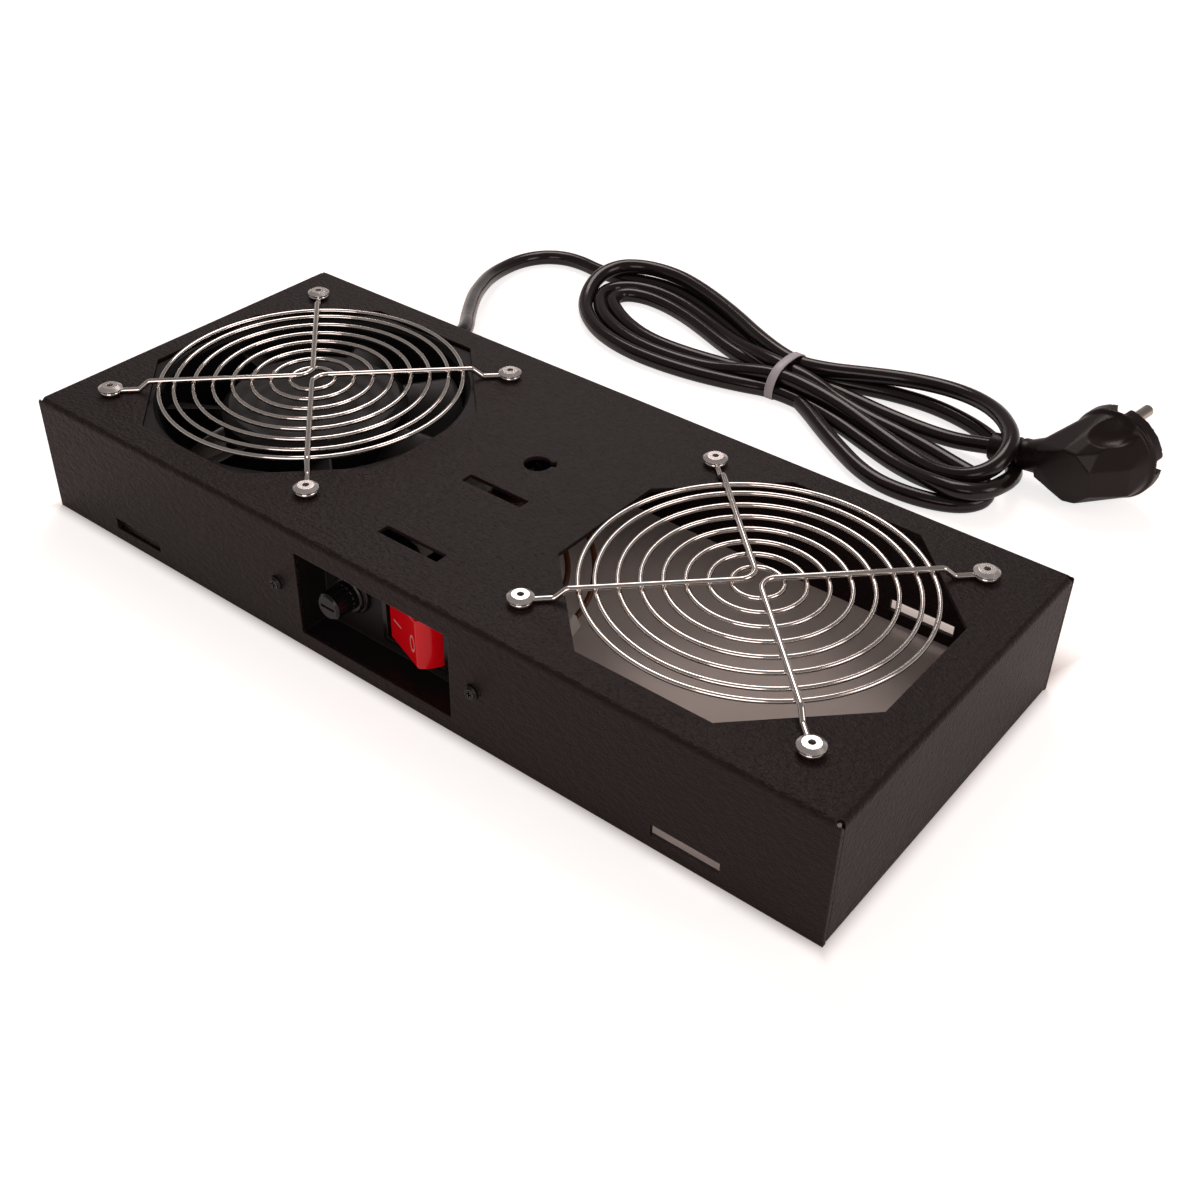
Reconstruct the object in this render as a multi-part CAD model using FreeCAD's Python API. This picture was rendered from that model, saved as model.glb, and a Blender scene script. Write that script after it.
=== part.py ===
import FreeCAD, Part
import math
import os

# Rack fan tray: a folded steel tray with two fan bays, one of them fitted with an axial fan.
# Millimetres, +Z up. The origin is in the middle of the tray's footprint, on the surface that
# the tray stands on. The control recess is in the front wall, which faces -Y.

Vec = FreeCAD.Vector
X_AXIS = Vec(1, 0, 0)
Y_AXIS = Vec(0, 1, 0)
Z_AXIS = Vec(0, 0, 1)

# ---- the fan's size sets the tray's: room round each fan, between the two bays and below
FAN_SIZE = 119.4
FAN_DEPTH = 38.0
HOLE_INSET = 7.2
CENTRE_ROOM = 81.0
END_ROOM = 12.6
SIDE_ROOM = 12.3
FOOT_ROOM = 8.0
OPENING_ROOM = 1.0

# ---- tray, folded from one sheet
TRAY_SHEET = 1.5
TRAY_LENGTH = 2 * FAN_SIZE + CENTRE_ROOM + 2 * END_ROOM
TRAY_DEPTH = FAN_SIZE + 2 * SIDE_ROOM
TRAY_HEIGHT = FOOT_ROOM + FAN_DEPTH + TRAY_SHEET
BEND_RADIUS = 2.0
CORNER_SLIT = 0.4
CORNER_RELIEF = 2.4
END_WALL_LIFT = 1.0
PATTERN_X = -2.0
BAY_PITCH = FAN_SIZE + CENTRE_ROOM
BAY_OPENING = FAN_SIZE + OPENING_ROOM
HOLE_PITCH = FAN_SIZE - 2 * HOLE_INSET
PLATE_SLOT_LENGTH = 26.5
PLATE_SLOT_WIDTH = 5.0
PLATE_SLOT_Y = (-10.3, -51.0)
KEYED_HOLE = 10.0
KEYED_HOLE_Y = 12.2
KEY_WIDTH = 3.4
KEY_REACH = 6.8
KEY_ANGLE = 35.0
WALL_SLOT_LENGTH = 25.0
WALL_SLOT_WIDTH = 4.6
WALL_SLOT_INSET = 48.0
WALL_SLOT_Z = 7.1

# ---- control recess and its bracket
RECESS_WIDTH = 69.0
RECESS_HEIGHT = 33.3
RECESS_FLOOR_Z = 6.0
RECESS_DEPTH = 13.0
BRACKET_SHEET = 1.2
BRACKET_LAP = 16.0
BRACKET_GAP = 0.4
SCREW_X = 44.5
SCREW_THREAD = 3.0
SCREW_HEAD = 5.6
SCREW_HEAD_HEIGHT = 2.0
SCREW_LENGTH = 7.0
SCREW_CLEARANCE = 0.15

# ---- blind rivets and wire finger guards
RIVET_SHANK = 4.0
RIVET_HEAD = 8.8
RIVET_HEAD_HEIGHT = 1.4
RIVET_BORE = 2.3
RIVET_BULB = 6.2
RIVET_BULB_LENGTH = 4.0
RIVET_CLEARANCE = 0.1
RING_WIRE = 1.7
SPOKE_WIRE = 2.0
RING_FIRST = 8.3
RING_COUNT = 7
RING_INSET = 3.9
RING_LAST_STEP = 5.4
GUARD_LIFT = 2.7
WELD_DEPTH = 0.25
SPOKE_BEND = 6.0
SPOKE_RUN_OUT = 3.6
SPOKE_RUN_DOWN = 3.9

# ---- axial fan, 120 mm frame
FAN_RIM = 2.2
FAN_FLANGE = 4.5
FAN_CORNER = 4.0
FAN_DUCT_WALL = 2.0
FAN_MOUTH = 1.6
MOTOR_BASE = 68.0
MOTOR_BASE_SHEET = 3.0
STRUT_WIDTH = 7.0
STRUT_COUNT = 4
HUB_DIAMETER = 70.0
HUB_WALL = 2.0
HUB_TOP_GAP = 3.5
HUB_BASE_GAP = 3.0
HUB_EDGE = 3.0
BLADE_COUNT = 7
BLADE_TIP_GAP = 1.0
BLADE_THICKNESS = 1.8
BLADE_CAMBER = 3.2
BLADE_ROOT_CHORD = 30.0
BLADE_TIP_CHORD = 36.0
BLADE_ROOT_PITCH = 46.0
BLADE_TIP_PITCH = 33.0
CAGE_WALL = 5.0
CAGE_LENGTH = 20.0
AIR_GAP = 0.4
STATOR_LENGTH = 13.0
STATOR_POLES = 4
COIL_HEIGHT = 4.0
SHAFT_DIAMETER = 4.0
SHAFT_FIT = 0.03
BEARING_DIAMETER = 9.0
BEARING_WIDTH = 4.0
BEARING_TUBE_WALL = 1.6
CLIP_DIAMETER = 6.6
CLIP_THICKNESS = 0.6
LABEL_DIAMETER = 56.0
LABEL_THICKNESS = 0.2

# ---- panel fuse holder
FUSE_OFFSET = 21.0
FUSE_COLLAR = 16.0
FUSE_COLLAR_HEIGHT = 1.8
FUSE_STEP = 13.6
FUSE_STEP_HEIGHT = 1.6
FUSE_BARREL = 12.4
FUSE_BARREL_LENGTH = 27.0
FUSE_NECK_BORE = 9.8
FUSE_NECK_DEPTH = 7.0
FUSE_BORE = 7.4
FUSE_BORE_LENGTH = 29.0
FUSE_NUT = 17.0
FUSE_NUT_HEIGHT = 3.5
CAP_DIAMETER = 10.6
CAP_HEIGHT = 8.6
CAP_GAP = 0.3
CAP_FLUTES = 16
CAP_FLUTE_RADIUS = 0.7
CAP_PULL = 30.0
CARRIER_DIAMETER = 7.0
CARRIER_WALL = 0.7
CARRIER_LENGTH = 9.0
CARTRIDGE_DIAMETER = 5.0
CARTRIDGE_LENGTH = 20.0
CARTRIDGE_CAP_LENGTH = 5.0
CARTRIDGE_CAP_WALL = 0.15
CARTRIDGE_GAP = 0.1

# ---- rocker switch
SWITCH_OFFSET = 9.0
BEZEL_LENGTH = 31.0
BEZEL_HEIGHT = 25.6
BEZEL_THICKNESS = 2.0
BEZEL_CORNER = 1.5
SWITCH_BODY_LENGTH = 28.0
SWITCH_BODY_HEIGHT = 22.0
SWITCH_BODY_DEPTH = 23.0
SWITCH_CUTOUT_GAP = 0.15
ROCKER_RADIUS = 12.5
ROCKER_WIDTH = 19.6
ROCKER_FACE = 8.1
ROCKER_SKIRT = 4.0
ROCKER_TILT = 19.7
ROCKER_GAP = 0.35
PIVOT_BEHIND_PANEL = 3.0
PIVOT_DIAMETER = 3.0
PIVOT_FIT = 0.05
PIVOT_LENGTH = 1.6
SWITCH_CAVITY = 9.0
LAMP_DIAMETER = 4.0
LAMP_LENGTH = 7.0
TAB_WIDTH = 6.3
TAB_THICKNESS = 0.8
TAB_LENGTH = 8.0
TAB_PITCH_X = 12.0
TAB_PITCH_Z = 10.0
CONNECTOR_LENGTH = 15.0
CONNECTOR_WIDTH = 7.8
CONNECTOR_THICKNESS = 3.4

# ---- mains cord, its bushing, its tied hank and its plug
CORD_DIAMETER = 7.0
BUSHING_OFFSET = 15.8
BUSHING_Z = 25.0
BUSHING_FLANGE = 17.0
BUSHING_FLANGE_THICKNESS = 2.0
BUSHING_NECK = 13.5
BUSHING_TIP = 9.6
BUSHING_SLEEVE = 15.0
BUSHING_INSIDE = 3.5
BUSHING_HOLE_GAP = 0.1
SHEATH_INSIDE = 1.5
CORE_DIAMETER = 2.2
CORE_GAP = 0.8
CORD_EXIT_RUN = 28.5
CORD_ROUTE = (
    (-136.0, 122.5, 18.5),
    (-157.0, 150.0, 12.5),
    (-173.0, 176.0, 6.8),
    (-179.0, 199.0, 3.8),
    (-171.0, 220.0, 3.6),
    (-151.0, 227.5, 4.2),
    (-131.0, 216.0, 8.0),
)
HANK_HEIGHT = 13.0
HANK_OUTLINE = (
    (-7.0, 202.0),
    (-25.0, 203.5),
    (-57.0, 217.0),
    (-97.0, 234.0),
    (-122.0, 233.0),
    (-134.0, 217.0),
    (-129.0, 195.0),
    (-114.0, 178.0),
    (-90.0, 165.0),
    (-61.0, 161.0),
    (-36.0, 166.0),
    (-7.0, 176.0),
    (13.0, 170.0),
    (30.0, 158.0),
    (60.0, 138.5),
    (80.0, 137.0),
    (94.0, 144.0),
    (105.0, 162.0),
    (106.0, 184.0),
    (99.0, 201.0),
    (85.0, 215.0),
    (62.0, 226.0),
    (34.0, 224.0),
    (13.0, 213.0),
)
HANK_EYES = (
    ((-112.0, 204.0), (-90.0, 209.0), (-60.0, 200.0), (-32.0, 191.5), (-60.0, 187.0), (-92.0, 190.0)),
    ((20.0, 192.0), (47.0, 206.0), (76.0, 202.0), (88.0, 187.0), (80.0, 166.0), (62.0, 161.0), (40.0, 173.0)),
)
TIE_X = -7.0
TIE_Y = 189.0
TIE_SPAN = 27.0
TIE_WIDTH = 3.2
TIE_THICKNESS = 1.2
TIE_CORNER = 5.0
PLUG_FACE = (138.7, 202.8, 19.9)
PLUG_YAW = 10.0
PLUG_PITCH = 4.0
PLUG_ROLL = 6.0
PLUG_RADIUS = 19.2
PLUG_COLLAR = 8.0
PLUG_DEPTH = 26.0
PLUG_NOTCH_WIDTH = 5.4
PLUG_NOTCH_DEPTH = 3.2
PLUG_COLLAR_SECTION = ((-18.0, -7.4), (-7.4, -18.0), (7.4, -18.0), (18.0, -7.4))
PLUG_REAR_SECTION = ((-22.5, -6.0), (-12.0, -11.6), (-6.0, -11.9), (2.0, -6.0))
PLUG_GRIP_SECTION = ((-19.5, -7.0), (-11.0, -14.4), (2.5, -15.0), (13.0, -7.0))
RELIEF_ROOT = (-21.0, -19.0, -2.5)
RELIEF_KNEE = (-27.5, -20.0, -3.8)
RELIEF_TIP = (-44.0, -22.0, -7.0)
RELIEF_ROOT_DIAMETER = 15.5
RELIEF_DIAMETER = 13.0
RELIEF_TIP_DIAMETER = 12.0
PIN_DIAMETER = 4.8
PIN_LENGTH = 19.0
PIN_PITCH = 19.0
PIN_SEAT = 6.0
PIN_SHANK = 4.0
EARTH_CLIP_THICKNESS = 0.8

# ---- earth point and wiring
EARTH_X = -24.0
EARTH_Y = 38.0
STUD_DIAMETER = 4.0
STUD_LENGTH = 11.0
EARTH_NUT = 7.0
EARTH_NUT_HEIGHT = 3.2
RING_TONGUE = 8.0
RING_TONGUE_THICKNESS = 0.8
LEAD_DIAMETER = 2.0
LEAD_GRIP = 4.0
LEAD_FIT = 0.05
LEAD_RUN_IN = 9.0
SPLICE_DIAMETER = 7.6
SPLICE_LENGTH = 15.0
SPLICE_Y = (10.0, 19.0)
SPLICE_X = -37.5
SPLICE_Z = 27.0
SPLICE_GRIP = 3.0
SPLICE_PITCH = 1.3
SPLICE_DROP = 1.1
FAN_LEAD_ANGLES = (38.0, 41.0)
FAN_LEAD_Z = 22.0
FAN_LEAD_STUB = 7.0
CORE_SPREAD = 1.9
LANE_BEND = 3.6
LANE_SAG = 0.4
BROWN_LEVEL = 1.4
BLUE_LEVEL = -1.4
EARTH_LEVEL = -4.2
SUPPLY_BROWN_BACK = ((-36.0, 12.0, 24.0), (-29.0, 32.0, 21.0))
SUPPLY_BROWN_FRONT = ((-24.5, 64.0, 21.6),)
SUPPLY_BLUE_BACK = ((-31.0, 9.0, 22.0), (-20.0, 28.0, 19.0), (-6.0, 48.0, 18.5))
SUPPLY_BLUE_FRONT = ((0.0, 56.0, 24.0),)
EARTH_BACK = ((-34.0, 0.0, 21.5), (-24.0, -2.0, 29.0), (-24.0, -1.5, 40.0))
LINK_FRONT = ((-17.0, 48.0, 13.2), (-6.0, 51.0, 16.0))
FEED_BROWN_FRONT = ((9.0, 56.0, 20.6), (-5.0, 66.0, 25.0))
FEED_BLUE_FRONT = ((10.0, 60.0, 27.8), (-2.0, 75.0, 27.6))
FAN_LEAD_VIAS = (
    ((-42.0, 38.0, 27.0), (-30.0, 31.0, 33.5), (-10.5, 16.0, 31.5)),
    ((-40.0, 41.0, 27.0), (-28.0, 35.0, 33.5), (-10.5, 25.0, 31.5)),
)
SPARE_LEAD_VIAS = (
    ((-3.0, 12.0, 33.0), (14.0, 6.0, 29.0), (26.0, -4.0, 23.0), (29.5, -14.0, 17.5), (27.0, -26.0, 13.5)),
    ((-3.0, 20.0, 34.0), (18.0, 14.0, 32.0), (33.0, 2.0, 26.0), (39.0, -9.0, 20.0), (39.0, -21.0, 15.0)),
)

# ---- places worked out from the sizes above
FAN_BORE = FAN_SIZE - 2 * FAN_RIM
RING_OUTER = BAY_OPENING / 2 - RING_INSET
RING_STEP = (RING_OUTER - RING_LAST_STEP - RING_FIRST) / (RING_COUNT - 1)
FUSE_X = PATTERN_X - FUSE_OFFSET
SWITCH_X = PATTERN_X + SWITCH_OFFSET
TOP_Z = TRAY_HEIGHT
UNDER_Z = TRAY_HEIGHT - TRAY_SHEET
FRONT_Y = -TRAY_DEPTH / 2
BACK_Y = TRAY_DEPTH / 2
FRONT_INNER_Y = FRONT_Y + TRAY_SHEET
BACK_INNER_Y = BACK_Y - TRAY_SHEET
BAY_X = (PATTERN_X - BAY_PITCH / 2, PATTERN_X + BAY_PITCH / 2)
FAN_X = BAY_X[0]
FAN_RIGHT = FAN_X + FAN_SIZE / 2
BUSHING_X = FAN_X - BUSHING_OFFSET
FAN_TOP = UNDER_Z
FAN_BASE = UNDER_Z - FAN_DEPTH
RECESS_Z = RECESS_FLOOR_Z + RECESS_HEIGHT / 2
PANEL_Y = FRONT_Y + RECESS_DEPTH
PANEL_BACK_Y = PANEL_Y + BRACKET_SHEET
PIVOT_Y = PANEL_Y + PIVOT_BEHIND_PANEL
RIVET_HOLE = RIVET_SHANK + 2 * RIVET_CLEARANCE


def box(x0, x1, y0, y1, z0, z1):
    """A block between two corners."""
    return Part.makeBox(x1 - x0, y1 - y0, z1 - z0, Vec(x0, y0, z0))


def rod(radius, length, start, direction):
    """A round bar from start along direction."""
    return Part.makeCylinder(radius, length, start, direction)


def turned(profile, start, direction):
    """A turned piece: (radius, distance) points spun about an axis from start."""
    points = [Vec(radius, 0, distance) for radius, distance in profile]
    face = Part.Face(Part.makePolygon(points + points[:1]))
    solid = face.revolve(Vec(0, 0, 0), Z_AXIS, 360)
    turn = FreeCAD.Rotation(Z_AXIS, direction)
    solid.Placement = FreeCAD.Placement(start, turn)
    return solid


def prism(points, height, base_z):
    """A straight-sided block on a flat outline of (x, y) points."""
    corners = [Vec(x, y, base_z) for x, y in points]
    face = Part.Face(Part.makePolygon(corners + corners[:1]))
    return face.extrude(Vec(0, 0, height))


def regular_prism(sides, across, height, start, direction, spin=0.0):
    """A regular prism, measured across its flats, from start along direction."""
    radius = across / 2 / math.cos(math.pi / sides)
    angles = [math.radians(spin) + (i + 0.5) * 2 * math.pi / sides for i in range(sides)]
    solid = prism([(radius * math.cos(a), radius * math.sin(a)) for a in angles], height, 0)
    solid.Placement = FreeCAD.Placement(start, FreeCAD.Rotation(Z_AXIS, direction))
    return solid


def rounded_block(x0, x1, y0, y1, z0, z1, radius, axis):
    """A block whose four edges along one axis are rounded."""
    block = box(x0, x1, y0, y1, z0, z1)
    edges = [e for e in block.Edges if abs(abs(e.tangentAt(e.FirstParameter).dot(axis)) - 1) < 1e-6]
    return block.makeFillet(radius, edges)


def cord_path(points):
    """Straight runs joined by tangent arcs, each as large as its two runs allow."""
    corners = [Vec(*p) for p in points]
    edges = []
    radii = []
    start = corners[0]
    for before, corner, after in zip(corners, corners[1:], corners[2:]):
        arriving = corner - before
        leaving = after - corner
        reach = 0.45 * min(arriving.Length, leaving.Length)
        turn = arriving.getAngle(leaving)
        radii.append(reach / math.tan(turn / 2))
        arriving.normalize()
        leaving.normalize()
        arc_start = corner - arriving * reach
        arc_end = corner + leaving * reach
        bisector = (leaving - arriving)
        bisector.normalize()
        centre = corner + bisector * (radii[-1] / math.cos(turn / 2))
        arc_middle = centre - bisector * radii[-1]
        edges.append(Part.LineSegment(start, arc_start).toShape())
        edges.append(Part.Arc(arc_start, arc_middle, arc_end).toShape())
        start = arc_end
    edges.append(Part.LineSegment(start, corners[-1]).toShape())
    return Part.Wire(edges), radii


def swept(path, diameter):
    """A round wire or cord along a path."""
    first = path.Edges[0]
    start = first.valueAt(first.FirstParameter)
    ring = Part.Wire(Part.makeCircle(diameter / 2, start, first.tangentAt(first.FirstParameter)))
    return path.makePipeShell([ring], True, False)


def cord(points, diameter, name):
    """A cord or lead along its route, with its radii and volume printed."""
    path, radii = cord_path(points)
    solid = swept(path, diameter)
    section = math.pi * diameter ** 2 / 4
    ratio = solid.Volume / (section * path.Length)
    print(f"{name}: length {path.Length:.0f}, radii {[round(r, 1) for r in radii]}, volume ratio {ratio:.4f}")
    return solid


def group(solids):
    """Several separate solids that share a node."""
    return Part.makeCompound(solids)


def fused(shapes):
    """One solid from several that overlap."""
    return shapes[0].multiFuse(shapes[1:]).removeSplitter()


def save(name, shape):
    """Write one sub-part."""
    if not shape.isValid():
        raise ValueError(f"{name} is not a valid shape")
    shape.exportStep(os.path.join("parts", name + ".step"))
    print(f"{name}: {len(shape.Solids)} solid(s), volume {shape.Volume:.0f}")


def quadrants(pitch):
    """The four corners of a square hole pattern."""
    return [(sx * pitch / 2, sy * pitch / 2) for sx in (-1, 1) for sy in (-1, 1)]


# ---- tray

def folded_shell():
    """Top plate and four walls, with rounded bends and open corners."""
    half_l = TRAY_LENGTH / 2
    half_d = TRAY_DEPTH / 2
    outer = box(-half_l, half_l, -half_d, half_d, 0, TOP_Z)
    rim = [e for e in outer.Edges if all(v.Z > TOP_Z - 0.01 for v in e.Vertexes)]
    outer = outer.makeFillet(BEND_RADIUS, rim)
    x_in = half_l - TRAY_SHEET
    y_in = half_d - TRAY_SHEET
    inner = box(-x_in, x_in, -y_in, y_in, -1, UNDER_Z)
    rim = [e for e in inner.Edges if all(v.Z > UNDER_Z - 0.01 for v in e.Vertexes)]
    inner = inner.makeFillet(max(BEND_RADIUS - TRAY_SHEET, 0.2), rim)
    return outer.cut(inner)


def tray():
    """The folded tray with everything punched in it."""
    half_l = TRAY_LENGTH / 2
    x_in = half_l - TRAY_SHEET
    cuts = []
    for side in (-1, 1):
        x0, x1 = sorted((side * x_in, side * (half_l + 1)))
        cuts.append(box(x0, x1, FRONT_INNER_Y, BACK_INNER_Y, -1, END_WALL_LIFT))
        for wall_y, inward in ((FRONT_INNER_Y, 1), (BACK_INNER_Y, -1)):
            y0, y1 = sorted((wall_y, wall_y + inward * CORNER_SLIT))
            cuts.append(box(x0, x1, y0, y1, -1, TOP_Z - BEND_RADIUS))
            corner = Vec(side * (half_l - CORNER_RELIEF / 2), wall_y, TOP_Z - BEND_RADIUS - 1)
            cuts.append(rod(CORNER_RELIEF / 2, BEND_RADIUS + 2, corner, Z_AXIS))
    plate = (UNDER_Z - 1, TRAY_SHEET + 2)
    for bay in BAY_X:
        cuts.append(regular_prism(8, BAY_OPENING, plate[1], Vec(bay, 0, plate[0]), Z_AXIS))
        for dx, dy in quadrants(HOLE_PITCH):
            cuts.append(rod(RIVET_HOLE / 2, plate[1], Vec(bay + dx, dy, plate[0]), Z_AXIS))
    for slot_y in PLATE_SLOT_Y:
        cuts.append(box(
            PATTERN_X - PLATE_SLOT_LENGTH / 2, PATTERN_X + PLATE_SLOT_LENGTH / 2,
            slot_y - PLATE_SLOT_WIDTH / 2, slot_y + PLATE_SLOT_WIDTH / 2, plate[0], TOP_Z + 1))
    cuts.append(rod(KEYED_HOLE / 2, plate[1], Vec(PATTERN_X, KEYED_HOLE_Y, plate[0]), Z_AXIS))
    key = box(0, KEY_REACH, -KEY_WIDTH / 2, KEY_WIDTH / 2, 0, plate[1])
    key.Placement = FreeCAD.Placement(
        Vec(PATTERN_X, KEYED_HOLE_Y, plate[0]), FreeCAD.Rotation(Z_AXIS, KEY_ANGLE))
    cuts.append(key)
    for wall_y in (FRONT_Y, BACK_INNER_Y):
        for slot_x in (WALL_SLOT_INSET - half_l, half_l - WALL_SLOT_INSET):
            cuts.append(box(
                slot_x - WALL_SLOT_LENGTH / 2, slot_x + WALL_SLOT_LENGTH / 2,
                wall_y - 1, wall_y + TRAY_SHEET + 1,
                WALL_SLOT_Z - WALL_SLOT_WIDTH / 2, WALL_SLOT_Z + WALL_SLOT_WIDTH / 2))
    cuts.append(box(
        PATTERN_X - RECESS_WIDTH / 2, PATTERN_X + RECESS_WIDTH / 2, FRONT_Y - 1, FRONT_INNER_Y + 1,
        RECESS_FLOOR_Z, RECESS_FLOOR_Z + RECESS_HEIGHT))
    for side in (-1, 1):
        hole = Vec(PATTERN_X + side * SCREW_X, FRONT_Y - 1, RECESS_Z)
        cuts.append(rod(SCREW_THREAD / 2 + SCREW_CLEARANCE, TRAY_SHEET + 2, hole, Y_AXIS))
    cord_hole = Vec(BUSHING_X, BACK_INNER_Y - 1, BUSHING_Z)
    cuts.append(rod(BUSHING_NECK / 2 + BUSHING_HOLE_GAP, TRAY_SHEET + 2, cord_hole, Y_AXIS))
    return folded_shell().cut(Part.makeCompound(cuts))


# ---- control bracket and its screws

def control_bracket():
    """A folded pan behind the opening: two laps, two cheeks, a floor and the panel."""
    cheek_x = RECESS_WIDTH / 2 + BRACKET_GAP
    outer_x = cheek_x + BRACKET_SHEET
    floor_top = RECESS_FLOOR_Z - BRACKET_GAP
    floor_bottom = floor_top - BRACKET_SHEET
    top = RECESS_FLOOR_Z + RECESS_HEIGHT + BRACKET_GAP
    middle = PATTERN_X
    walls = [
        box(middle - outer_x, middle + outer_x, PANEL_Y, PANEL_BACK_Y, floor_bottom, top),
        box(middle - outer_x, middle + outer_x, FRONT_INNER_Y, PANEL_Y, floor_bottom, floor_top),
    ]
    for side in (-1, 1):
        cheek = sorted((middle + side * cheek_x, middle + side * outer_x))
        walls.append(box(*cheek, FRONT_INNER_Y, PANEL_Y, floor_top, top))
        lap = sorted((middle + side * outer_x, middle + side * (cheek_x + BRACKET_LAP)))
        walls.append(box(*lap, FRONT_INNER_Y, FRONT_INNER_Y + BRACKET_SHEET, floor_bottom, top))
    pan = fused(walls)
    cuts = [rod(FUSE_BARREL / 2 + 0.1, RECESS_DEPTH, Vec(FUSE_X, PANEL_Y - 1, RECESS_Z), Y_AXIS)]
    half_x = SWITCH_BODY_LENGTH / 2 + SWITCH_CUTOUT_GAP
    half_z = SWITCH_BODY_HEIGHT / 2 + SWITCH_CUTOUT_GAP
    cuts.append(box(
        SWITCH_X - half_x, SWITCH_X + half_x, PANEL_Y - 1, PANEL_BACK_Y + 1,
        RECESS_Z - half_z, RECESS_Z + half_z))
    for side in (-1, 1):
        start = Vec(middle + side * SCREW_X, FRONT_INNER_Y - 1, RECESS_Z)
        cuts.append(rod(SCREW_THREAD / 2, BRACKET_SHEET + 2, start, Y_AXIS))
        relief = Vec(middle + side * cheek_x, PANEL_Y - 0.5, floor_bottom - 1)
        cuts.append(rod(BRACKET_SHEET, BRACKET_SHEET + 1.5, relief, Z_AXIS))
    return pan.cut(Part.makeCompound(cuts))


def bracket_screws():
    """Two pan-head screws that thread into the bracket's laps."""
    screws = []
    head = SCREW_HEAD / 2
    for side in (-1, 1):
        face = Vec(PATTERN_X + side * SCREW_X, FRONT_Y, RECESS_Z)
        profile = (
            (0, -SCREW_HEAD_HEIGHT), (head * 0.6, -SCREW_HEAD_HEIGHT),
            (head * 0.92, -SCREW_HEAD_HEIGHT * 0.6),
            (head, 0), (SCREW_THREAD / 2, 0), (SCREW_THREAD / 2, SCREW_LENGTH - 1),
            (SCREW_THREAD / 2 - 0.8, SCREW_LENGTH), (0, SCREW_LENGTH))
        screw = turned(profile, face, Y_AXIS)
        arm = SCREW_HEAD * 0.28
        for spin in (0, 90):
            bar = box(-arm, arm, -SCREW_HEAD_HEIGHT - 0.1, -SCREW_HEAD_HEIGHT * 0.35, -0.35, 0.35)
            bar.Placement = FreeCAD.Placement(face, FreeCAD.Rotation(Y_AXIS, spin))
            screw = screw.cut(bar)
        screws.append(screw)
    return group(screws)


# ---- finger guards and rivets

def bent_wire(points, radius, diameter):
    """A wire bent to one radius at every corner."""
    corners = [Vec(*p) for p in points]
    edges = []
    start = corners[0]
    for before, corner, after in zip(corners, corners[1:], corners[2:]):
        arriving = (corner - before).normalize()
        leaving = (after - corner).normalize()
        turn = arriving.getAngle(leaving)
        reach = radius[len(edges) // 2] * math.tan(turn / 2)
        bisector = (leaving - arriving).normalize()
        centre = corner + bisector * (radius[len(edges) // 2] / math.cos(turn / 2))
        middle = centre - bisector * radius[len(edges) // 2]
        edges.append(Part.LineSegment(start, corner - arriving * reach).toShape())
        edges.append(Part.Arc(corner - arriving * reach, middle, corner + leaving * reach).toShape())
        start = corner + leaving * reach
    edges.append(Part.LineSegment(start, corners[-1]).toShape())
    return swept(Part.Wire(edges), diameter)


def finger_guard(bay):
    """Concentric rings welded under two V-shaped wires that end in eyes on the plate."""
    ring_z = TOP_Z + GUARD_LIFT
    radii = [RING_FIRST + i * RING_STEP for i in range(RING_COUNT)] + [RING_OUTER]
    pieces = [Part.makeTorus(r, RING_WIRE / 2, Vec(bay, 0, ring_z)) for r in radii]
    spoke_z = ring_z + RING_WIRE / 2 + SPOKE_WIRE / 2 - WELD_DEPTH
    eye_z = TOP_Z + SPOKE_WIRE / 2
    eye_radius = RIVET_HOLE / 2 + SPOKE_WIRE / 2
    eye_distance = HOLE_PITCH / math.sqrt(2)
    step = RING_OUTER + SPOKE_RUN_OUT
    stations = ((eye_distance - eye_radius, eye_z), (step + SPOKE_RUN_DOWN, eye_z), (step, spoke_z))
    for side in (-1, 1):
        arms = []
        for along in (-1, 1):
            unit = (side / math.sqrt(2), along / math.sqrt(2))
            arms.append([(bay + s * unit[0], s * unit[1], z) for s, z in stations])
            eye = Vec(bay + eye_distance * unit[0], eye_distance * unit[1], eye_z)
            pieces.append(Part.makeTorus(eye_radius, SPOKE_WIRE / 2, eye))
        points = arms[0] + [(bay, 0, spoke_z)] + arms[1][::-1]
        bends = (SPOKE_WIRE, SPOKE_WIRE, SPOKE_BEND, SPOKE_WIRE, SPOKE_WIRE)
        pieces.append(bent_wire(points, bends, SPOKE_WIRE))
    return fused(pieces)


def guard_rivets(bay, grip):
    """Four hollow blind rivets: head on the guard's eye, bulb under what they hold."""
    shank = RIVET_SHANK / 2
    eye_top = SPOKE_WIRE
    bulb = -grip - RIVET_BULB_LENGTH
    profile = (
        (RIVET_BORE / 2, eye_top + RIVET_HEAD_HEIGHT), (RIVET_HEAD * 0.33, eye_top + RIVET_HEAD_HEIGHT),
        (RIVET_HEAD / 2, eye_top + 0.45), (RIVET_HEAD / 2, eye_top), (shank, eye_top), (shank, -grip),
        (RIVET_BULB / 2, -grip), (RIVET_BULB / 2, bulb + 1.0), (RIVET_BULB / 2 - 1.0, bulb),
        (RIVET_BORE / 2, bulb))
    return group([turned(profile, Vec(bay + dx, dy, TOP_Z), Z_AXIS) for dx, dy in quadrants(HOLE_PITCH)])


# ---- axial fan

def square_flange(z0, z1):
    half = FAN_SIZE / 2
    return rounded_block(FAN_X - half, FAN_X + half, -half, half, z0, z1, FAN_CORNER, Z_AXIS)


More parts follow.
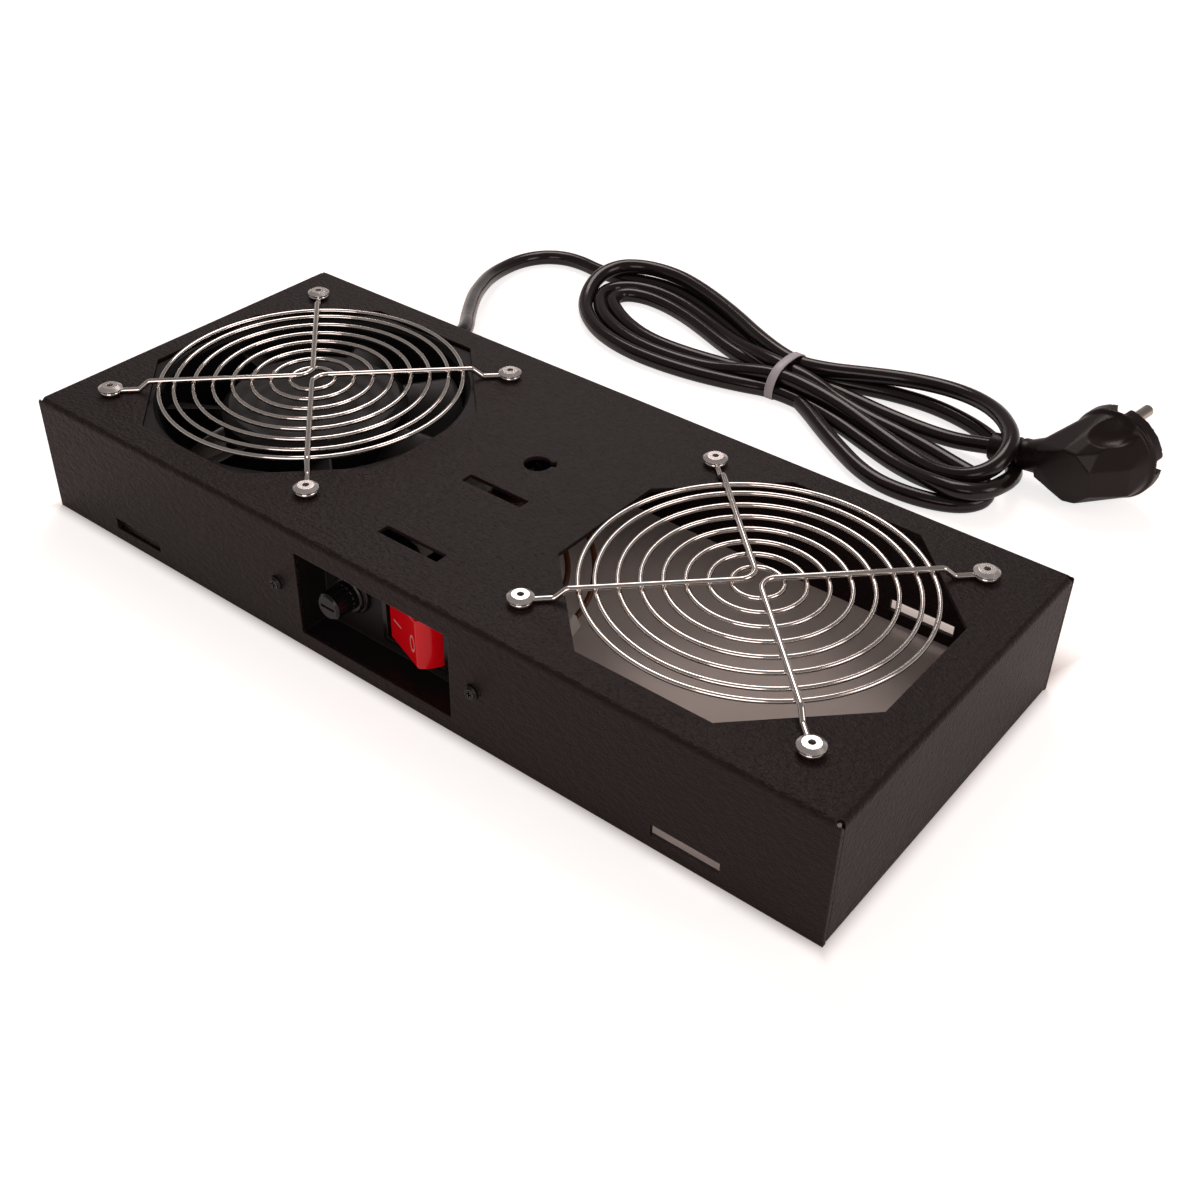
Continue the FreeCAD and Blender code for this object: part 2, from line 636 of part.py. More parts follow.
def fan_frame():
    """Die-cast frame: two square flanges, a round duct, four struts and the motor base."""
    middle = Vec(FAN_X, 0, FAN_BASE)
    duct_radius = min(FAN_BORE / 2 + FAN_DUCT_WALL, FAN_SIZE / 2)
    shell = fused([
        square_flange(FAN_BASE, FAN_BASE + FAN_FLANGE), square_flange(FAN_TOP - FAN_FLANGE, FAN_TOP),
        rod(duct_radius, FAN_DEPTH, middle, Z_AXIS)])
    mouth = FAN_BORE / 2 + FAN_MOUTH
    bore = turned((
        (0, -1), (FAN_BORE / 2, -1), (FAN_BORE / 2, FAN_DEPTH - FAN_MOUTH * 1.5), (mouth, FAN_DEPTH),
        (mouth, FAN_DEPTH + 1), (0, FAN_DEPTH + 1)), middle, Z_AXIS)
    holes = [
        rod(RIVET_HOLE / 2, FAN_DEPTH + 2, Vec(FAN_X + dx, dy, FAN_BASE - 1), Z_AXIS)
        for dx, dy in quadrants(HOLE_PITCH)]
    shell = shell.cut(Part.makeCompound([bore] + holes))
    struts = []
    for i in range(STRUT_COUNT):
        bar = box(
            MOTOR_BASE / 2 - 2, FAN_BORE / 2 + FAN_DUCT_WALL / 2, -STRUT_WIDTH / 2, STRUT_WIDTH / 2,
            0, MOTOR_BASE_SHEET)
        spin = 45 + i * 360 / STRUT_COUNT
        bar.Placement = FreeCAD.Placement(middle, FreeCAD.Rotation(Z_AXIS, spin))
        struts.append(bar)
    tube_bore = BEARING_DIAMETER / 2
    tube_outer = tube_bore + BEARING_TUBE_WALL
    tube_top = HUB_INNER_Z - FAN_BASE - 6.0
    base = turned((
        (tube_bore, 0.8), (MOTOR_BASE / 2, 0.8), (MOTOR_BASE / 2, MOTOR_BASE_SHEET),
        (tube_outer, MOTOR_BASE_SHEET), (tube_outer, tube_top), (tube_bore, tube_top)), middle, Z_AXIS)
    rim = turned((
        (LABEL_DIAMETER / 2 + 0.5, 0), (MOTOR_BASE / 2, 0), (MOTOR_BASE / 2, 1),
        (LABEL_DIAMETER / 2 + 0.5, 1)), middle, Z_AXIS)
    return fused([shell, base, rim] + struts)


HUB_TOP_Z = FAN_TOP - HUB_TOP_GAP
HUB_INNER_Z = HUB_TOP_Z - HUB_WALL
HUB_RIM_Z = FAN_BASE + MOTOR_BASE_SHEET + HUB_BASE_GAP
ROTOR_MIDDLE_Z = (HUB_INNER_Z + HUB_RIM_Z) / 2
CAGE_RADIUS = HUB_DIAMETER / 2 - HUB_WALL
STATOR_RADIUS = CAGE_RADIUS - CAGE_WALL - AIR_GAP
TUBE_RADIUS = BEARING_DIAMETER / 2 + BEARING_TUBE_WALL


def fan_blade():
    """One twisted, cambered blade, lofted from hub to tip and trimmed to its running gap."""
    sections = []
    root = HUB_DIAMETER / 2 - HUB_WALL / 2
    tip = FAN_BORE / 2
    for share in (0.0, 0.5, 1.0):
        radius = root + share * (tip - root)
        chord = BLADE_ROOT_CHORD + share * (BLADE_TIP_CHORD - BLADE_ROOT_CHORD)
        pitch = math.radians(BLADE_ROOT_PITCH + share * (BLADE_TIP_PITCH - BLADE_ROOT_PITCH))
        edges = []
        half = chord / 2
        ends = [Vec(radius, s * half * math.cos(pitch), s * half * math.sin(pitch)) for s in (-1, 1)]
        crown = Vec(0, -math.sin(pitch), math.cos(pitch))
        for bulge in (BLADE_CAMBER + BLADE_THICKNESS / 2, BLADE_CAMBER - BLADE_THICKNESS / 2):
            middle = Vec(radius, 0, 0) + crown * bulge
            edges.append(Part.Arc(ends[0], middle, ends[1]).toShape())
        sections.append(Part.Wire(edges))
    blade = Part.makeLoft(sections, True)
    limit = rod(FAN_BORE / 2 - BLADE_TIP_GAP, FAN_DEPTH * 2, Vec(0, 0, -FAN_DEPTH), Z_AXIS)
    blade = blade.common(limit)
    return blade


def impeller():
    """Moulded hub cup with its blades."""
    hub = HUB_DIAMETER / 2
    height = HUB_TOP_Z - HUB_RIM_Z
    boss = SHAFT_DIAMETER / 2 + 3.0
    cup = turned((
        (SHAFT_DIAMETER / 2, height - HUB_WALL - 4.0), (boss, height - HUB_WALL - 4.0),
        (boss, height - HUB_WALL), (hub - HUB_WALL, height - HUB_WALL), (hub - HUB_WALL, 0), (hub, 0),
        (hub, height - HUB_EDGE), (hub - HUB_EDGE, height), (0, height), (0, height - HUB_WALL / 2),
        (SHAFT_DIAMETER / 2, height - HUB_WALL / 2)), Vec(FAN_X, 0, HUB_RIM_Z), Z_AXIS)
    pieces = [cup]
    blade = fan_blade()
    for i in range(BLADE_COUNT):
        turn = FreeCAD.Rotation(Z_AXIS, i * 360 / BLADE_COUNT)
        pieces.append(blade.transformed(
            FreeCAD.Placement(Vec(FAN_X, 0, ROTOR_MIDDLE_Z), turn).toMatrix(), True))
    return fused(pieces)


def rotor_cage():
    """Rotor ring pressed into the hub."""
    base = ROTOR_MIDDLE_Z - CAGE_LENGTH / 2
    outer = rod(CAGE_RADIUS, CAGE_LENGTH, Vec(FAN_X, 0, base), Z_AXIS)
    return outer.cut(rod(CAGE_RADIUS - CAGE_WALL, CAGE_LENGTH + 2, Vec(FAN_X, 0, base - 1), Z_AXIS))


def rotor_shaft():
    """Shaft moulded into the hub's boss."""
    top = HUB_TOP_Z - HUB_WALL / 2
    base = FAN_BASE + 1.0
    groove_z = base + 1.0
    shaft = rod(SHAFT_DIAMETER / 2, top - base, Vec(FAN_X, 0, base), Z_AXIS)
    groove = rod(SHAFT_DIAMETER, CLIP_THICKNESS, Vec(FAN_X, 0, groove_z), Z_AXIS)
    groove = groove.cut(rod(SHAFT_DIAMETER / 2 - 0.5, CLIP_THICKNESS, Vec(FAN_X, 0, groove_z), Z_AXIS))
    return shaft.cut(groove)


def shaft_clip():
    """Split ring in the shaft's groove."""
    z = FAN_BASE + 2.0
    ring = rod(CLIP_DIAMETER / 2, CLIP_THICKNESS, Vec(FAN_X, 0, z), Z_AXIS)
    ring = ring.cut(rod(SHAFT_DIAMETER / 2 - 0.5, CLIP_THICKNESS, Vec(FAN_X, 0, z), Z_AXIS))
    half_gap = SHAFT_DIAMETER * 0.3
    return ring.cut(box(FAN_X, FAN_X + CLIP_DIAMETER, -half_gap, half_gap, z - 1, z + 1.5))


BEARING_Z = (FAN_BASE + MOTOR_BASE_SHEET + 0.6, HUB_INNER_Z - 6.0 - BEARING_WIDTH)


def fan_bearings():
    """Two ball bearings in the bearing tube."""
    rings = []
    for z in BEARING_Z:
        outer = rod(BEARING_DIAMETER / 2, BEARING_WIDTH, Vec(FAN_X, 0, z), Z_AXIS)
        bore = rod(SHAFT_DIAMETER / 2 + SHAFT_FIT, BEARING_WIDTH, Vec(FAN_X, 0, z), Z_AXIS)
        rings.append(outer.cut(bore))
    return group(rings)


def stator_core():
    """Laminated stack with its poles, on the bearing tube."""
    base = Vec(FAN_X, 0, ROTOR_MIDDLE_Z - STATOR_LENGTH / 2)
    stack = rod(STATOR_RADIUS, STATOR_LENGTH, base, Z_AXIS)
    cuts = [rod(TUBE_RADIUS, STATOR_LENGTH, base, Z_AXIS)]
    slot_r = STATOR_RADIUS * 0.68
    for i in range(STATOR_POLES):
        angle = math.radians(45 + i * 360 / STATOR_POLES)
        centre = Vec(FAN_X + slot_r * math.cos(angle), slot_r * math.sin(angle), base.z)
        cuts.append(rod(STATOR_RADIUS * 0.2, STATOR_LENGTH, centre, Z_AXIS))
        mouth = box(slot_r, STATOR_RADIUS + 1, -1.0, 1.0, 0, STATOR_LENGTH)
        mouth.Placement = FreeCAD.Placement(base, FreeCAD.Rotation(Z_AXIS, math.degrees(angle)))
        cuts.append(mouth)
    return stack.cut(Part.makeCompound(cuts))


def stator_windings():
    """End turns of the coils, above and below the stack."""
    inner = TUBE_RADIUS + 2.0
    outer = STATOR_RADIUS * 0.82
    coils = []
    for z in (ROTOR_MIDDLE_Z + STATOR_LENGTH / 2, ROTOR_MIDDLE_Z - STATOR_LENGTH / 2 - COIL_HEIGHT):
        for i in range(STATOR_POLES):
            coil = rounded_block(inner, outer, -6.5, 6.5, 0, COIL_HEIGHT, 1.5, X_AXIS)
            place = FreeCAD.Placement(Vec(FAN_X, 0, z), FreeCAD.Rotation(Z_AXIS, i * 360 / STATOR_POLES))
            coils.append(coil.transformed(place.toMatrix(), True))
    return group(coils)


def fan_label():
    """Bare foil disc over the motor base."""
    top = FAN_BASE + 0.8
    return rod(LABEL_DIAMETER / 2, LABEL_THICKNESS, Vec(FAN_X, 0, top - LABEL_THICKNESS), Z_AXIS)


# ---- fuse holder, along +Y from the panel's face

FUSE_FACE = Vec(FUSE_X, PANEL_Y, RECESS_Z)
FUSE_FRONT = FUSE_COLLAR_HEIGHT + FUSE_STEP_HEIGHT


def fuse_holder_body():
    """Collar, step and barrel, bored for the carrier."""
    barrel = FUSE_BARREL / 2
    neck_end = FUSE_NECK_DEPTH - FUSE_FRONT
    bore_end = neck_end + FUSE_BORE_LENGTH - FUSE_NECK_DEPTH
    end = BRACKET_SHEET + FUSE_BARREL_LENGTH
    profile = (
        (FUSE_NECK_BORE / 2, -FUSE_FRONT), (FUSE_STEP / 2 - 0.5, -FUSE_FRONT),
        (FUSE_STEP / 2, -FUSE_FRONT + 0.5), (FUSE_STEP / 2, -FUSE_COLLAR_HEIGHT),
        (FUSE_COLLAR / 2 - 0.4, -FUSE_COLLAR_HEIGHT), (FUSE_COLLAR / 2, -FUSE_COLLAR_HEIGHT + 0.5),
        (FUSE_COLLAR / 2, 0), (barrel, 0), (barrel, end - 5), (barrel - 1.6, end - 3.5), (barrel - 1.6, end),
        (0, end), (0, bore_end), (FUSE_BORE / 2, bore_end), (FUSE_BORE / 2, neck_end),
        (FUSE_NECK_BORE / 2, neck_end))
    return turned(profile, FUSE_FACE, Y_AXIS)


def fuse_holder_nut():
    """Hexagon nut behind the panel."""
    start = Vec(FUSE_X, PANEL_BACK_Y, RECESS_Z)
    nut = regular_prism(6, FUSE_NUT, FUSE_NUT_HEIGHT, start, Y_AXIS)
    return nut.cut(rod(FUSE_BARREL / 2, FUSE_NUT_HEIGHT, start, Y_AXIS))


CAP_BACK = -FUSE_FRONT - CAP_GAP
CAP_FRONT = CAP_BACK - CAP_HEIGHT
CARRIER_START = FUSE_NECK_DEPTH - FUSE_FRONT - 1.0
CARTRIDGE_START = CARRIER_START + 1.5


def fuse_cap():
    """Fluted knob with a skirt in the holder's neck."""
    skirt = FUSE_NECK_BORE / 2 - 0.15
    knob = turned((
        (0, CAP_FRONT), (CAP_DIAMETER / 2 - 1.2, CAP_FRONT), (CAP_DIAMETER / 2 - 0.3, CAP_FRONT + 0.7),
        (CAP_DIAMETER / 2, CAP_BACK), (skirt, CAP_BACK), (skirt, CARRIER_START - 1.2),
        (0, CARRIER_START - 1.2)),
        FUSE_FACE, Y_AXIS)
    cuts = []
    for i in range(CAP_FLUTES):
        angle = i * 2 * math.pi / CAP_FLUTES
        reach = CAP_DIAMETER / 2 + CAP_FLUTE_RADIUS * 0.45
        start = FUSE_FACE + Vec(reach * math.cos(angle), CAP_FRONT + 1.2, reach * math.sin(angle))
        cuts.append(rod(CAP_FLUTE_RADIUS, CAP_HEIGHT - 2.4, start, Y_AXIS))
    slot = box(-CAP_DIAMETER * 0.3, CAP_DIAMETER * 0.3, CAP_FRONT - 1, CAP_FRONT + 0.8, -0.55, 0.55)
    cuts.append(slot.transformed(FreeCAD.Placement(FUSE_FACE, FreeCAD.Rotation()).toMatrix(), True))
    return knob.cut(Part.makeCompound(cuts))


def fuse_carrier():
    """Sprung brass cup that grips the cartridge."""
    outer = CARRIER_DIAMETER / 2
    inner = outer - CARRIER_WALL
    start = CARRIER_START - 1.0
    return turned((
        (0, start), (outer, start), (outer, start + CARRIER_LENGTH), (inner, start + CARRIER_LENGTH),
        (inner, start + 1.5), (0, start + 1.5)), FUSE_FACE, Y_AXIS)


def fuse_cartridge():
    """Glass tube of a 5 x 20 fuse."""
    tube = CARTRIDGE_DIAMETER / 2
    start = CARTRIDGE_START + CARTRIDGE_GAP
    return turned((
        (tube - 0.6, start + CARTRIDGE_CAP_WALL), (tube, start + CARTRIDGE_CAP_WALL),
        (tube, start + CARTRIDGE_LENGTH), (tube - 0.6, start + CARTRIDGE_LENGTH)), FUSE_FACE, Y_AXIS)


def fuse_end_caps():
    """Nickel caps on the cartridge."""
    tube = CARTRIDGE_DIAMETER / 2
    cap = tube + CARTRIDGE_CAP_WALL
    start = CARTRIDGE_START + CARTRIDGE_GAP
    end = start + CARTRIDGE_LENGTH + CARTRIDGE_CAP_WALL
    front = turned((
        (0, start), (cap, start), (cap, start + CARTRIDGE_CAP_LENGTH), (tube, start + CARTRIDGE_CAP_LENGTH),
        (tube, start + CARTRIDGE_CAP_WALL), (0, start + CARTRIDGE_CAP_WALL)), FUSE_FACE, Y_AXIS)
    rear = turned((
        (0, end), (cap, end), (cap, end - CARTRIDGE_CAP_LENGTH), (tube, end - CARTRIDGE_CAP_LENGTH),
        (tube, end - CARTRIDGE_CAP_WALL), (0, end - CARTRIDGE_CAP_WALL)), FUSE_FACE, Y_AXIS)
    return group([front, rear])


FUSE_END_Y = PANEL_Y + BRACKET_SHEET + FUSE_BARREL_LENGTH
SIDE_TAB_Y = FUSE_END_Y - 9.0


def fuse_terminals():
    """Tinned tabs: one out of the end, one out of the side."""
    half = TAB_THICKNESS / 2
    rear = box(
        FUSE_X - half, FUSE_X + half, FUSE_END_Y, FUSE_END_Y + TAB_LENGTH,
        RECESS_Z - TAB_WIDTH / 2, RECESS_Z + TAB_WIDTH / 2)
    base_z = RECESS_Z - FUSE_BARREL / 2
    side = box(
        FUSE_X - TAB_WIDTH / 2, FUSE_X + TAB_WIDTH / 2, SIDE_TAB_Y - half, SIDE_TAB_Y + half,
        base_z - 3.0, base_z + 0.6)
    lip = box(
        FUSE_X - TAB_WIDTH / 2, FUSE_X + TAB_WIDTH / 2, SIDE_TAB_Y - half, SIDE_TAB_Y + TAB_LENGTH,
        base_z - 3.0 - TAB_THICKNESS, base_z - 3.0)
    barrel = rod(FUSE_BARREL / 2, FUSE_BARREL_LENGTH, Vec(FUSE_X, PANEL_BACK_Y, RECESS_Z), Y_AXIS)
    return group([rear, fused([side, lip]).cut(barrel)])


# ---- rocker switch, centred on its pivot

def switch_housing():
    """Bezel and moulded body, open at the front for the rocker."""
    half_x = BEZEL_LENGTH / 2
    half_z = BEZEL_HEIGHT / 2
    bezel = rounded_block(
        SWITCH_X - half_x, SWITCH_X + half_x, PANEL_Y - BEZEL_THICKNESS, PANEL_Y,
        RECESS_Z - half_z, RECESS_Z + half_z, BEZEL_CORNER, Y_AXIS)
    rim = [e for e in bezel.Edges if all(v.Y < PANEL_Y - BEZEL_THICKNESS + 0.01 for v in e.Vertexes)]
    bezel = bezel.makeChamfer(0.6, rim)
    body_x = SWITCH_BODY_LENGTH / 2
    body_z = SWITCH_BODY_HEIGHT / 2
    body = box(
        SWITCH_X - body_x, SWITCH_X + body_x, PANEL_Y, PANEL_Y + SWITCH_BODY_DEPTH,
        RECESS_Z - body_z, RECESS_Z + body_z)
    window_x = ROCKER_RADIUS + ROCKER_GAP
    window_z = ROCKER_WIDTH / 2 + ROCKER_GAP
    cavity = box(
        SWITCH_X - window_x, SWITCH_X + window_x, PANEL_Y - BEZEL_THICKNESS - 1, PIVOT_Y + SWITCH_CAVITY,
        RECESS_Z - window_z, RECESS_Z + window_z)
    bearing = Vec(SWITCH_X, PIVOT_Y, RECESS_Z - ROCKER_WIDTH / 2 - PIVOT_LENGTH)
    holes = rod(PIVOT_DIAMETER / 2 + PIVOT_FIT, ROCKER_WIDTH + 2 * PIVOT_LENGTH, bearing, Z_AXIS)
    lamp = rod(LAMP_DIAMETER / 2, LAMP_LENGTH, Vec(SWITCH_X, PIVOT_Y + SWITCH_CAVITY - 2, RECESS_Z), Y_AXIS)
    return fused([bezel, body]).cut(Part.makeCompound([cavity, holes, lamp]))


def switch_rocker():
    """Sector-shaped rocker with its two pivot stubs, one end pressed in."""
    disc = rod(ROCKER_RADIUS, ROCKER_WIDTH, Vec(0, 0, -ROCKER_WIDTH / 2), Z_AXIS)
    keep = box(-ROCKER_RADIUS - 1, ROCKER_RADIUS + 1, -ROCKER_FACE, ROCKER_SKIRT, -ROCKER_WIDTH, ROCKER_WIDTH)
    body = disc.common(keep)
    edges = [e for e in body.Edges if all(abs(v.Y + ROCKER_FACE) < 0.01 for v in e.Vertexes)]
    body = body.makeFillet(0.8, edges)
    pocket = box(-9.0, 9.0, -ROCKER_FACE + 2.2, ROCKER_SKIRT + 1, -ROCKER_WIDTH / 2 + 2, ROCKER_WIDTH / 2 - 2)
    stub_start = ROCKER_WIDTH / 2 - 2
    stub_z = ROCKER_WIDTH / 2 + PIVOT_LENGTH - 0.1
    stubs = [
        rod(PIVOT_DIAMETER / 2, stub_z - stub_start, Vec(0, 0, s * stub_start), Z_AXIS * s)
        for s in (-1, 1)]
    body = fused([body.cut(pocket)] + stubs)
    body.Placement = FreeCAD.Placement(
        Vec(SWITCH_X, PIVOT_Y, RECESS_Z), FreeCAD.Rotation(Z_AXIS, -ROCKER_TILT))
    return body


def switch_lamp():
    """Neon lamp that stands in the housing's floor, inside the rocker."""
    seat = PIVOT_Y + SWITCH_CAVITY
    bulb = turned((
        (0, 1.5), (LAMP_DIAMETER / 2 - 1.0, 1.5), (LAMP_DIAMETER / 2, 2.5), (LAMP_DIAMETER / 2, LAMP_LENGTH),
        (0, LAMP_LENGTH)), Vec(SWITCH_X, seat - LAMP_LENGTH + 1.5, RECESS_Z), Y_AXIS)
    return bulb


SWITCH_BACK_Y = PANEL_Y + SWITCH_BODY_DEPTH
TAB_PLACES = [
    (SWITCH_X + sx * TAB_PITCH_X / 2, RECESS_Z + sz * TAB_PITCH_Z / 2) for sx in (-1, 1) for sz in (-1, 1)]


def switch_terminals():
    """Four tabs out of the back of the switch."""
    half = TAB_THICKNESS / 2
    return group([
        box(
            x - half, x + half, SWITCH_BACK_Y, SWITCH_BACK_Y + TAB_LENGTH,
            z - TAB_WIDTH / 2, z + TAB_WIDTH / 2)
        for x, z in TAB_PLACES])


def receptacle(place, direction, stand_up, lead=LEAD_DIAMETER):
    """Insulated push-on receptacle around a tab, its wire end closed round the lead."""
    across, tall = CONNECTOR_THICKNESS / 2, CONNECTOR_WIDTH / 2
    sleeve = rounded_block(-across, across, 0, CONNECTOR_LENGTH, -tall, tall, 1.0, Y_AXIS)
    tab = box(-TAB_THICKNESS / 2, TAB_THICKNESS / 2, -1, TAB_LENGTH - 1, -TAB_WIDTH / 2, TAB_WIDTH / 2)
    bore = rod(lead / 2 + LEAD_FIT, LEAD_GRIP + 1, Vec(0, CONNECTOR_LENGTH - LEAD_GRIP, 0), Y_AXIS)
    sleeve = sleeve.cut(tab).cut(bore)
    spin = FreeCAD.Rotation(Y_AXIS, 0 if stand_up else 90)
    turn = FreeCAD.Rotation(Y_AXIS, direction).multiply(spin)
    return sleeve.transformed(FreeCAD.Placement(place, turn).toMatrix(), True)


CONNECTOR_Y = SWITCH_BACK_Y + 1.0
SWITCH_LEAD_Y = CONNECTOR_Y + CONNECTOR_LENGTH - LEAD_GRIP
FUSE_LEAD_Y = FUSE_END_Y + 1.0 + CONNECTOR_LENGTH - LEAD_GRIP
SIDE_TAB_Z = RECESS_Z - FUSE_BARREL / 2 - 3.0 - TAB_THICKNESS / 2
SIDE_LEAD_Y = SIDE_TAB_Y + 1.0 + CONNECTOR_LENGTH - LEAD_GRIP


def switch_connectors():
    leads = (LEAD_DIAMETER, CORE_DIAMETER, LEAD_DIAMETER, LEAD_DIAMETER)
    return group([
        receptacle(Vec(x, CONNECTOR_Y, z), Y_AXIS, True, lead) for (x, z), lead in zip(TAB_PLACES, leads)])


def fuse_connectors():
    return group([
        receptacle(Vec(FUSE_X, FUSE_END_Y + 1.0, RECESS_Z), Y_AXIS, True, CORE_DIAMETER),
        receptacle(Vec(FUSE_X, SIDE_TAB_Y + 1.0, SIDE_TAB_Z), Y_AXIS, False)])


# ---- cord bushing, cord, hank, tie and plug

def cord_bushing():
    """Rubber bushing in the back wall, its sleeve tapered along the cord."""
    half_wall = TRAY_SHEET
    bore = CORD_DIAMETER / 2
    profile = (
        (bore, -half_wall - BUSHING_INSIDE), (BUSHING_FLANGE / 2 - 1.0, -half_wall - BUSHING_INSIDE),
        (BUSHING_FLANGE / 2, -half_wall), (BUSHING_NECK / 2, -half_wall), (BUSHING_NECK / 2, 0),
        (BUSHING_FLANGE / 2, 0), (BUSHING_FLANGE / 2, BUSHING_FLANGE_THICKNESS - 0.5),
        (BUSHING_FLANGE / 2 - 0.5, BUSHING_FLANGE_THICKNESS),
        (BUSHING_NECK / 2 - 0.5, BUSHING_FLANGE_THICKNESS),
        (BUSHING_TIP / 2, BUSHING_SLEEVE), (bore, BUSHING_SLEEVE))
    return turned(profile, Vec(BUSHING_X, BACK_Y, BUSHING_Z), Y_AXIS)


def mains_cord():
    """Sheathed cord from inside the tray to its hank."""
    inside = (BUSHING_X, BACK_INNER_Y - BUSHING_INSIDE - SHEATH_INSIDE, BUSHING_Z)
    outside = (BUSHING_X, BACK_Y + CORD_EXIT_RUN, BUSHING_Z)
    return cord((inside, outside) + CORD_ROUTE, CORD_DIAMETER, "mains_cord")


def closed_outline(points, z):
    """A smooth closed line through hand-placed points."""
    curve = Part.BSplineCurve()
    curve.interpolate([Vec(x, y, z) for x, y in points], PeriodicFlag=True)
    return Part.Wire(curve.toShape())


def tie_ring(inset, width):
    """The strap's own outline, or the opening inside it."""
    half = TIE_SPAN / 2 + TIE_THICKNESS - inset
    return rounded_block(
        TIE_X - width / 2, TIE_X + width / 2, TIE_Y - half, TIE_Y + half,
        inset, HANK_HEIGHT + TIE_THICKNESS - inset, TIE_CORNER - inset, X_AXIS)


def cord_hank():
    """Outer shape of the tied turns: two open lobes that meet at the tie."""
    turns = Part.Face(closed_outline(HANK_OUTLINE, 0)).extrude(Vec(0, 0, HANK_HEIGHT))
    for eye in HANK_EYES:
        turns = turns.cut(Part.Face(closed_outline(eye, -1)).extrude(Vec(0, 0, HANK_HEIGHT + 2)))
    waist = box(
        TIE_X - TIE_WIDTH / 2, TIE_X + TIE_WIDTH / 2, TIE_Y - TIE_SPAN, TIE_Y + TIE_SPAN, -1, HANK_HEIGHT + 1)
    bundle = tie_ring(TIE_THICKNESS, TIE_WIDTH)
    return turns.cut(waist).fuse(bundle)


def cord_tie():
    """Plastic strap pulled tight round the waist of the hank."""
    return tie_ring(0, TIE_WIDTH).cut(tie_ring(TIE_THICKNESS, TIE_WIDTH + 2))


PLUG_TURN = FreeCAD.Rotation(Z_AXIS, -PLUG_YAW).multiply(
    FreeCAD.Rotation(X_AXIS, PLUG_PITCH)).multiply(FreeCAD.Rotation(Y_AXIS, -PLUG_ROLL))
PLUG_PLACE = FreeCAD.Placement(Vec(*PLUG_FACE), PLUG_TURN)


def plug_placed(shape):
    """From the plug's own frame: face at y = 0, pins along +Y, cord towards -X."""
    return shape.transformed(PLUG_PLACE.toMatrix(), True)


def plug_section(half_outline, y):
    """A flat-sided section of the plug, mirrored above its middle."""
    below = [Vec(x, y, z) for x, z in half_outline]
    above = [Vec(x, y, -z) for x, z in reversed(half_outline)]
    corners = below + above
    return Part.makePolygon(corners + corners[:1])


def plug_body():
    """Angled moulded plug: round collar, faceted grip and ribbed strain relief."""
    collar = rod(PLUG_RADIUS, PLUG_COLLAR, Vec(0, -PLUG_COLLAR, 0), Y_AXIS)
    front = Part.makeLoft([
        plug_section(PLUG_COLLAR_SECTION, -PLUG_COLLAR), plug_section(PLUG_GRIP_SECTION, -PLUG_DEPTH * 0.65)],
        True, True)
    rear = Part.makeLoft([
        plug_section(PLUG_GRIP_SECTION, -PLUG_DEPTH * 0.65), plug_section(PLUG_REAR_SECTION, -PLUG_DEPTH)],
        True, True)
    root, knee, tip = Vec(*RELIEF_ROOT), Vec(*RELIEF_KNEE), Vec(*RELIEF_TIP)
    along = (tip - knee).normalize()
    neck = Part.makeLoft([
        Part.Wire(Part.makeCircle(RELIEF_ROOT_DIAMETER / 2, root, along)),
        Part.Wire(Part.makeCircle(RELIEF_DIAMETER / 2, knee, along))], True, True)
    length = (tip - knee).Length
    wide, narrow = RELIEF_DIAMETER / 2, RELIEF_TIP_DIAMETER / 2
    sleeve = turned((
        (0, 0), (wide, 0), (wide, length * 0.2), (narrow - 1.0, length * 0.3), (narrow - 1.0, length * 0.5),
        (narrow, length * 0.6), (narrow, length), (0, length)), knee, along)
    body = fused([collar, front, rear, neck, sleeve])
    cuts = []
    half = PLUG_NOTCH_WIDTH / 2
    inner, outer = PLUG_RADIUS - PLUG_NOTCH_DEPTH, PLUG_RADIUS + 1
    for side in (-1, 1):
        cuts.append(box(*sorted((side * inner, side * outer)), -PLUG_COLLAR + 1, 1, -half, half))
        cuts.append(box(-half, half, -PLUG_COLLAR + 2, 1, *sorted((side * inner, side * outer))))
        cuts.append(rod(PIN_SHANK / 2, PIN_SEAT, Vec(0, -PIN_SEAT, side * PIN_PITCH / 2), Y_AXIS))
    return plug_placed(body.cut(Part.makeCompound(cuts)))


def plug_pins():
    """Two round pins, seated in the face."""
    pins = []
    radius = PIN_DIAMETER / 2
    for side in (-1, 1):
        profile = (
            (0, -PIN_SEAT), (PIN_SHANK / 2, -PIN_SEAT), (PIN_SHANK / 2, 0), (radius, 0),
            (radius, PIN_LENGTH - 1.2), (radius - 0.6, PIN_LENGTH - 0.3), (radius - 1.4, PIN_LENGTH),
            (0, PIN_LENGTH))
        pins.append(turned(profile, Vec(0, 0, side * PIN_PITCH / 2), Y_AXIS))
    return plug_placed(group(pins))


def plug_earth_clips():
    """Earth springs on the floor of the two side grooves."""
    clips = []
    floor = PLUG_RADIUS - PLUG_NOTCH_DEPTH
    half = PLUG_NOTCH_WIDTH / 2 - 0.7
    for side in (-1, 1):
        x0, x1 = sorted((side * floor, side * (floor + EARTH_CLIP_THICKNESS)))
        clips.append(box(x0, x1, -PLUG_COLLAR + 1.5, -0.5, -half, half))
    return plug_placed(group(clips))


# ---- earth point and leads

def earth_stud():
    """Weld stud on the underside of the top plate."""
    start = Vec(EARTH_X, EARTH_Y, UNDER_Z)
    return turned((
        (0, 0), (STUD_DIAMETER / 2 + 0.8, 0), (STUD_DIAMETER / 2 + 0.8, 0.8), (STUD_DIAMETER / 2, 0.8),
        (STUD_DIAMETER / 2, STUD_LENGTH), (0, STUD_LENGTH)), start, Z_AXIS * -1)


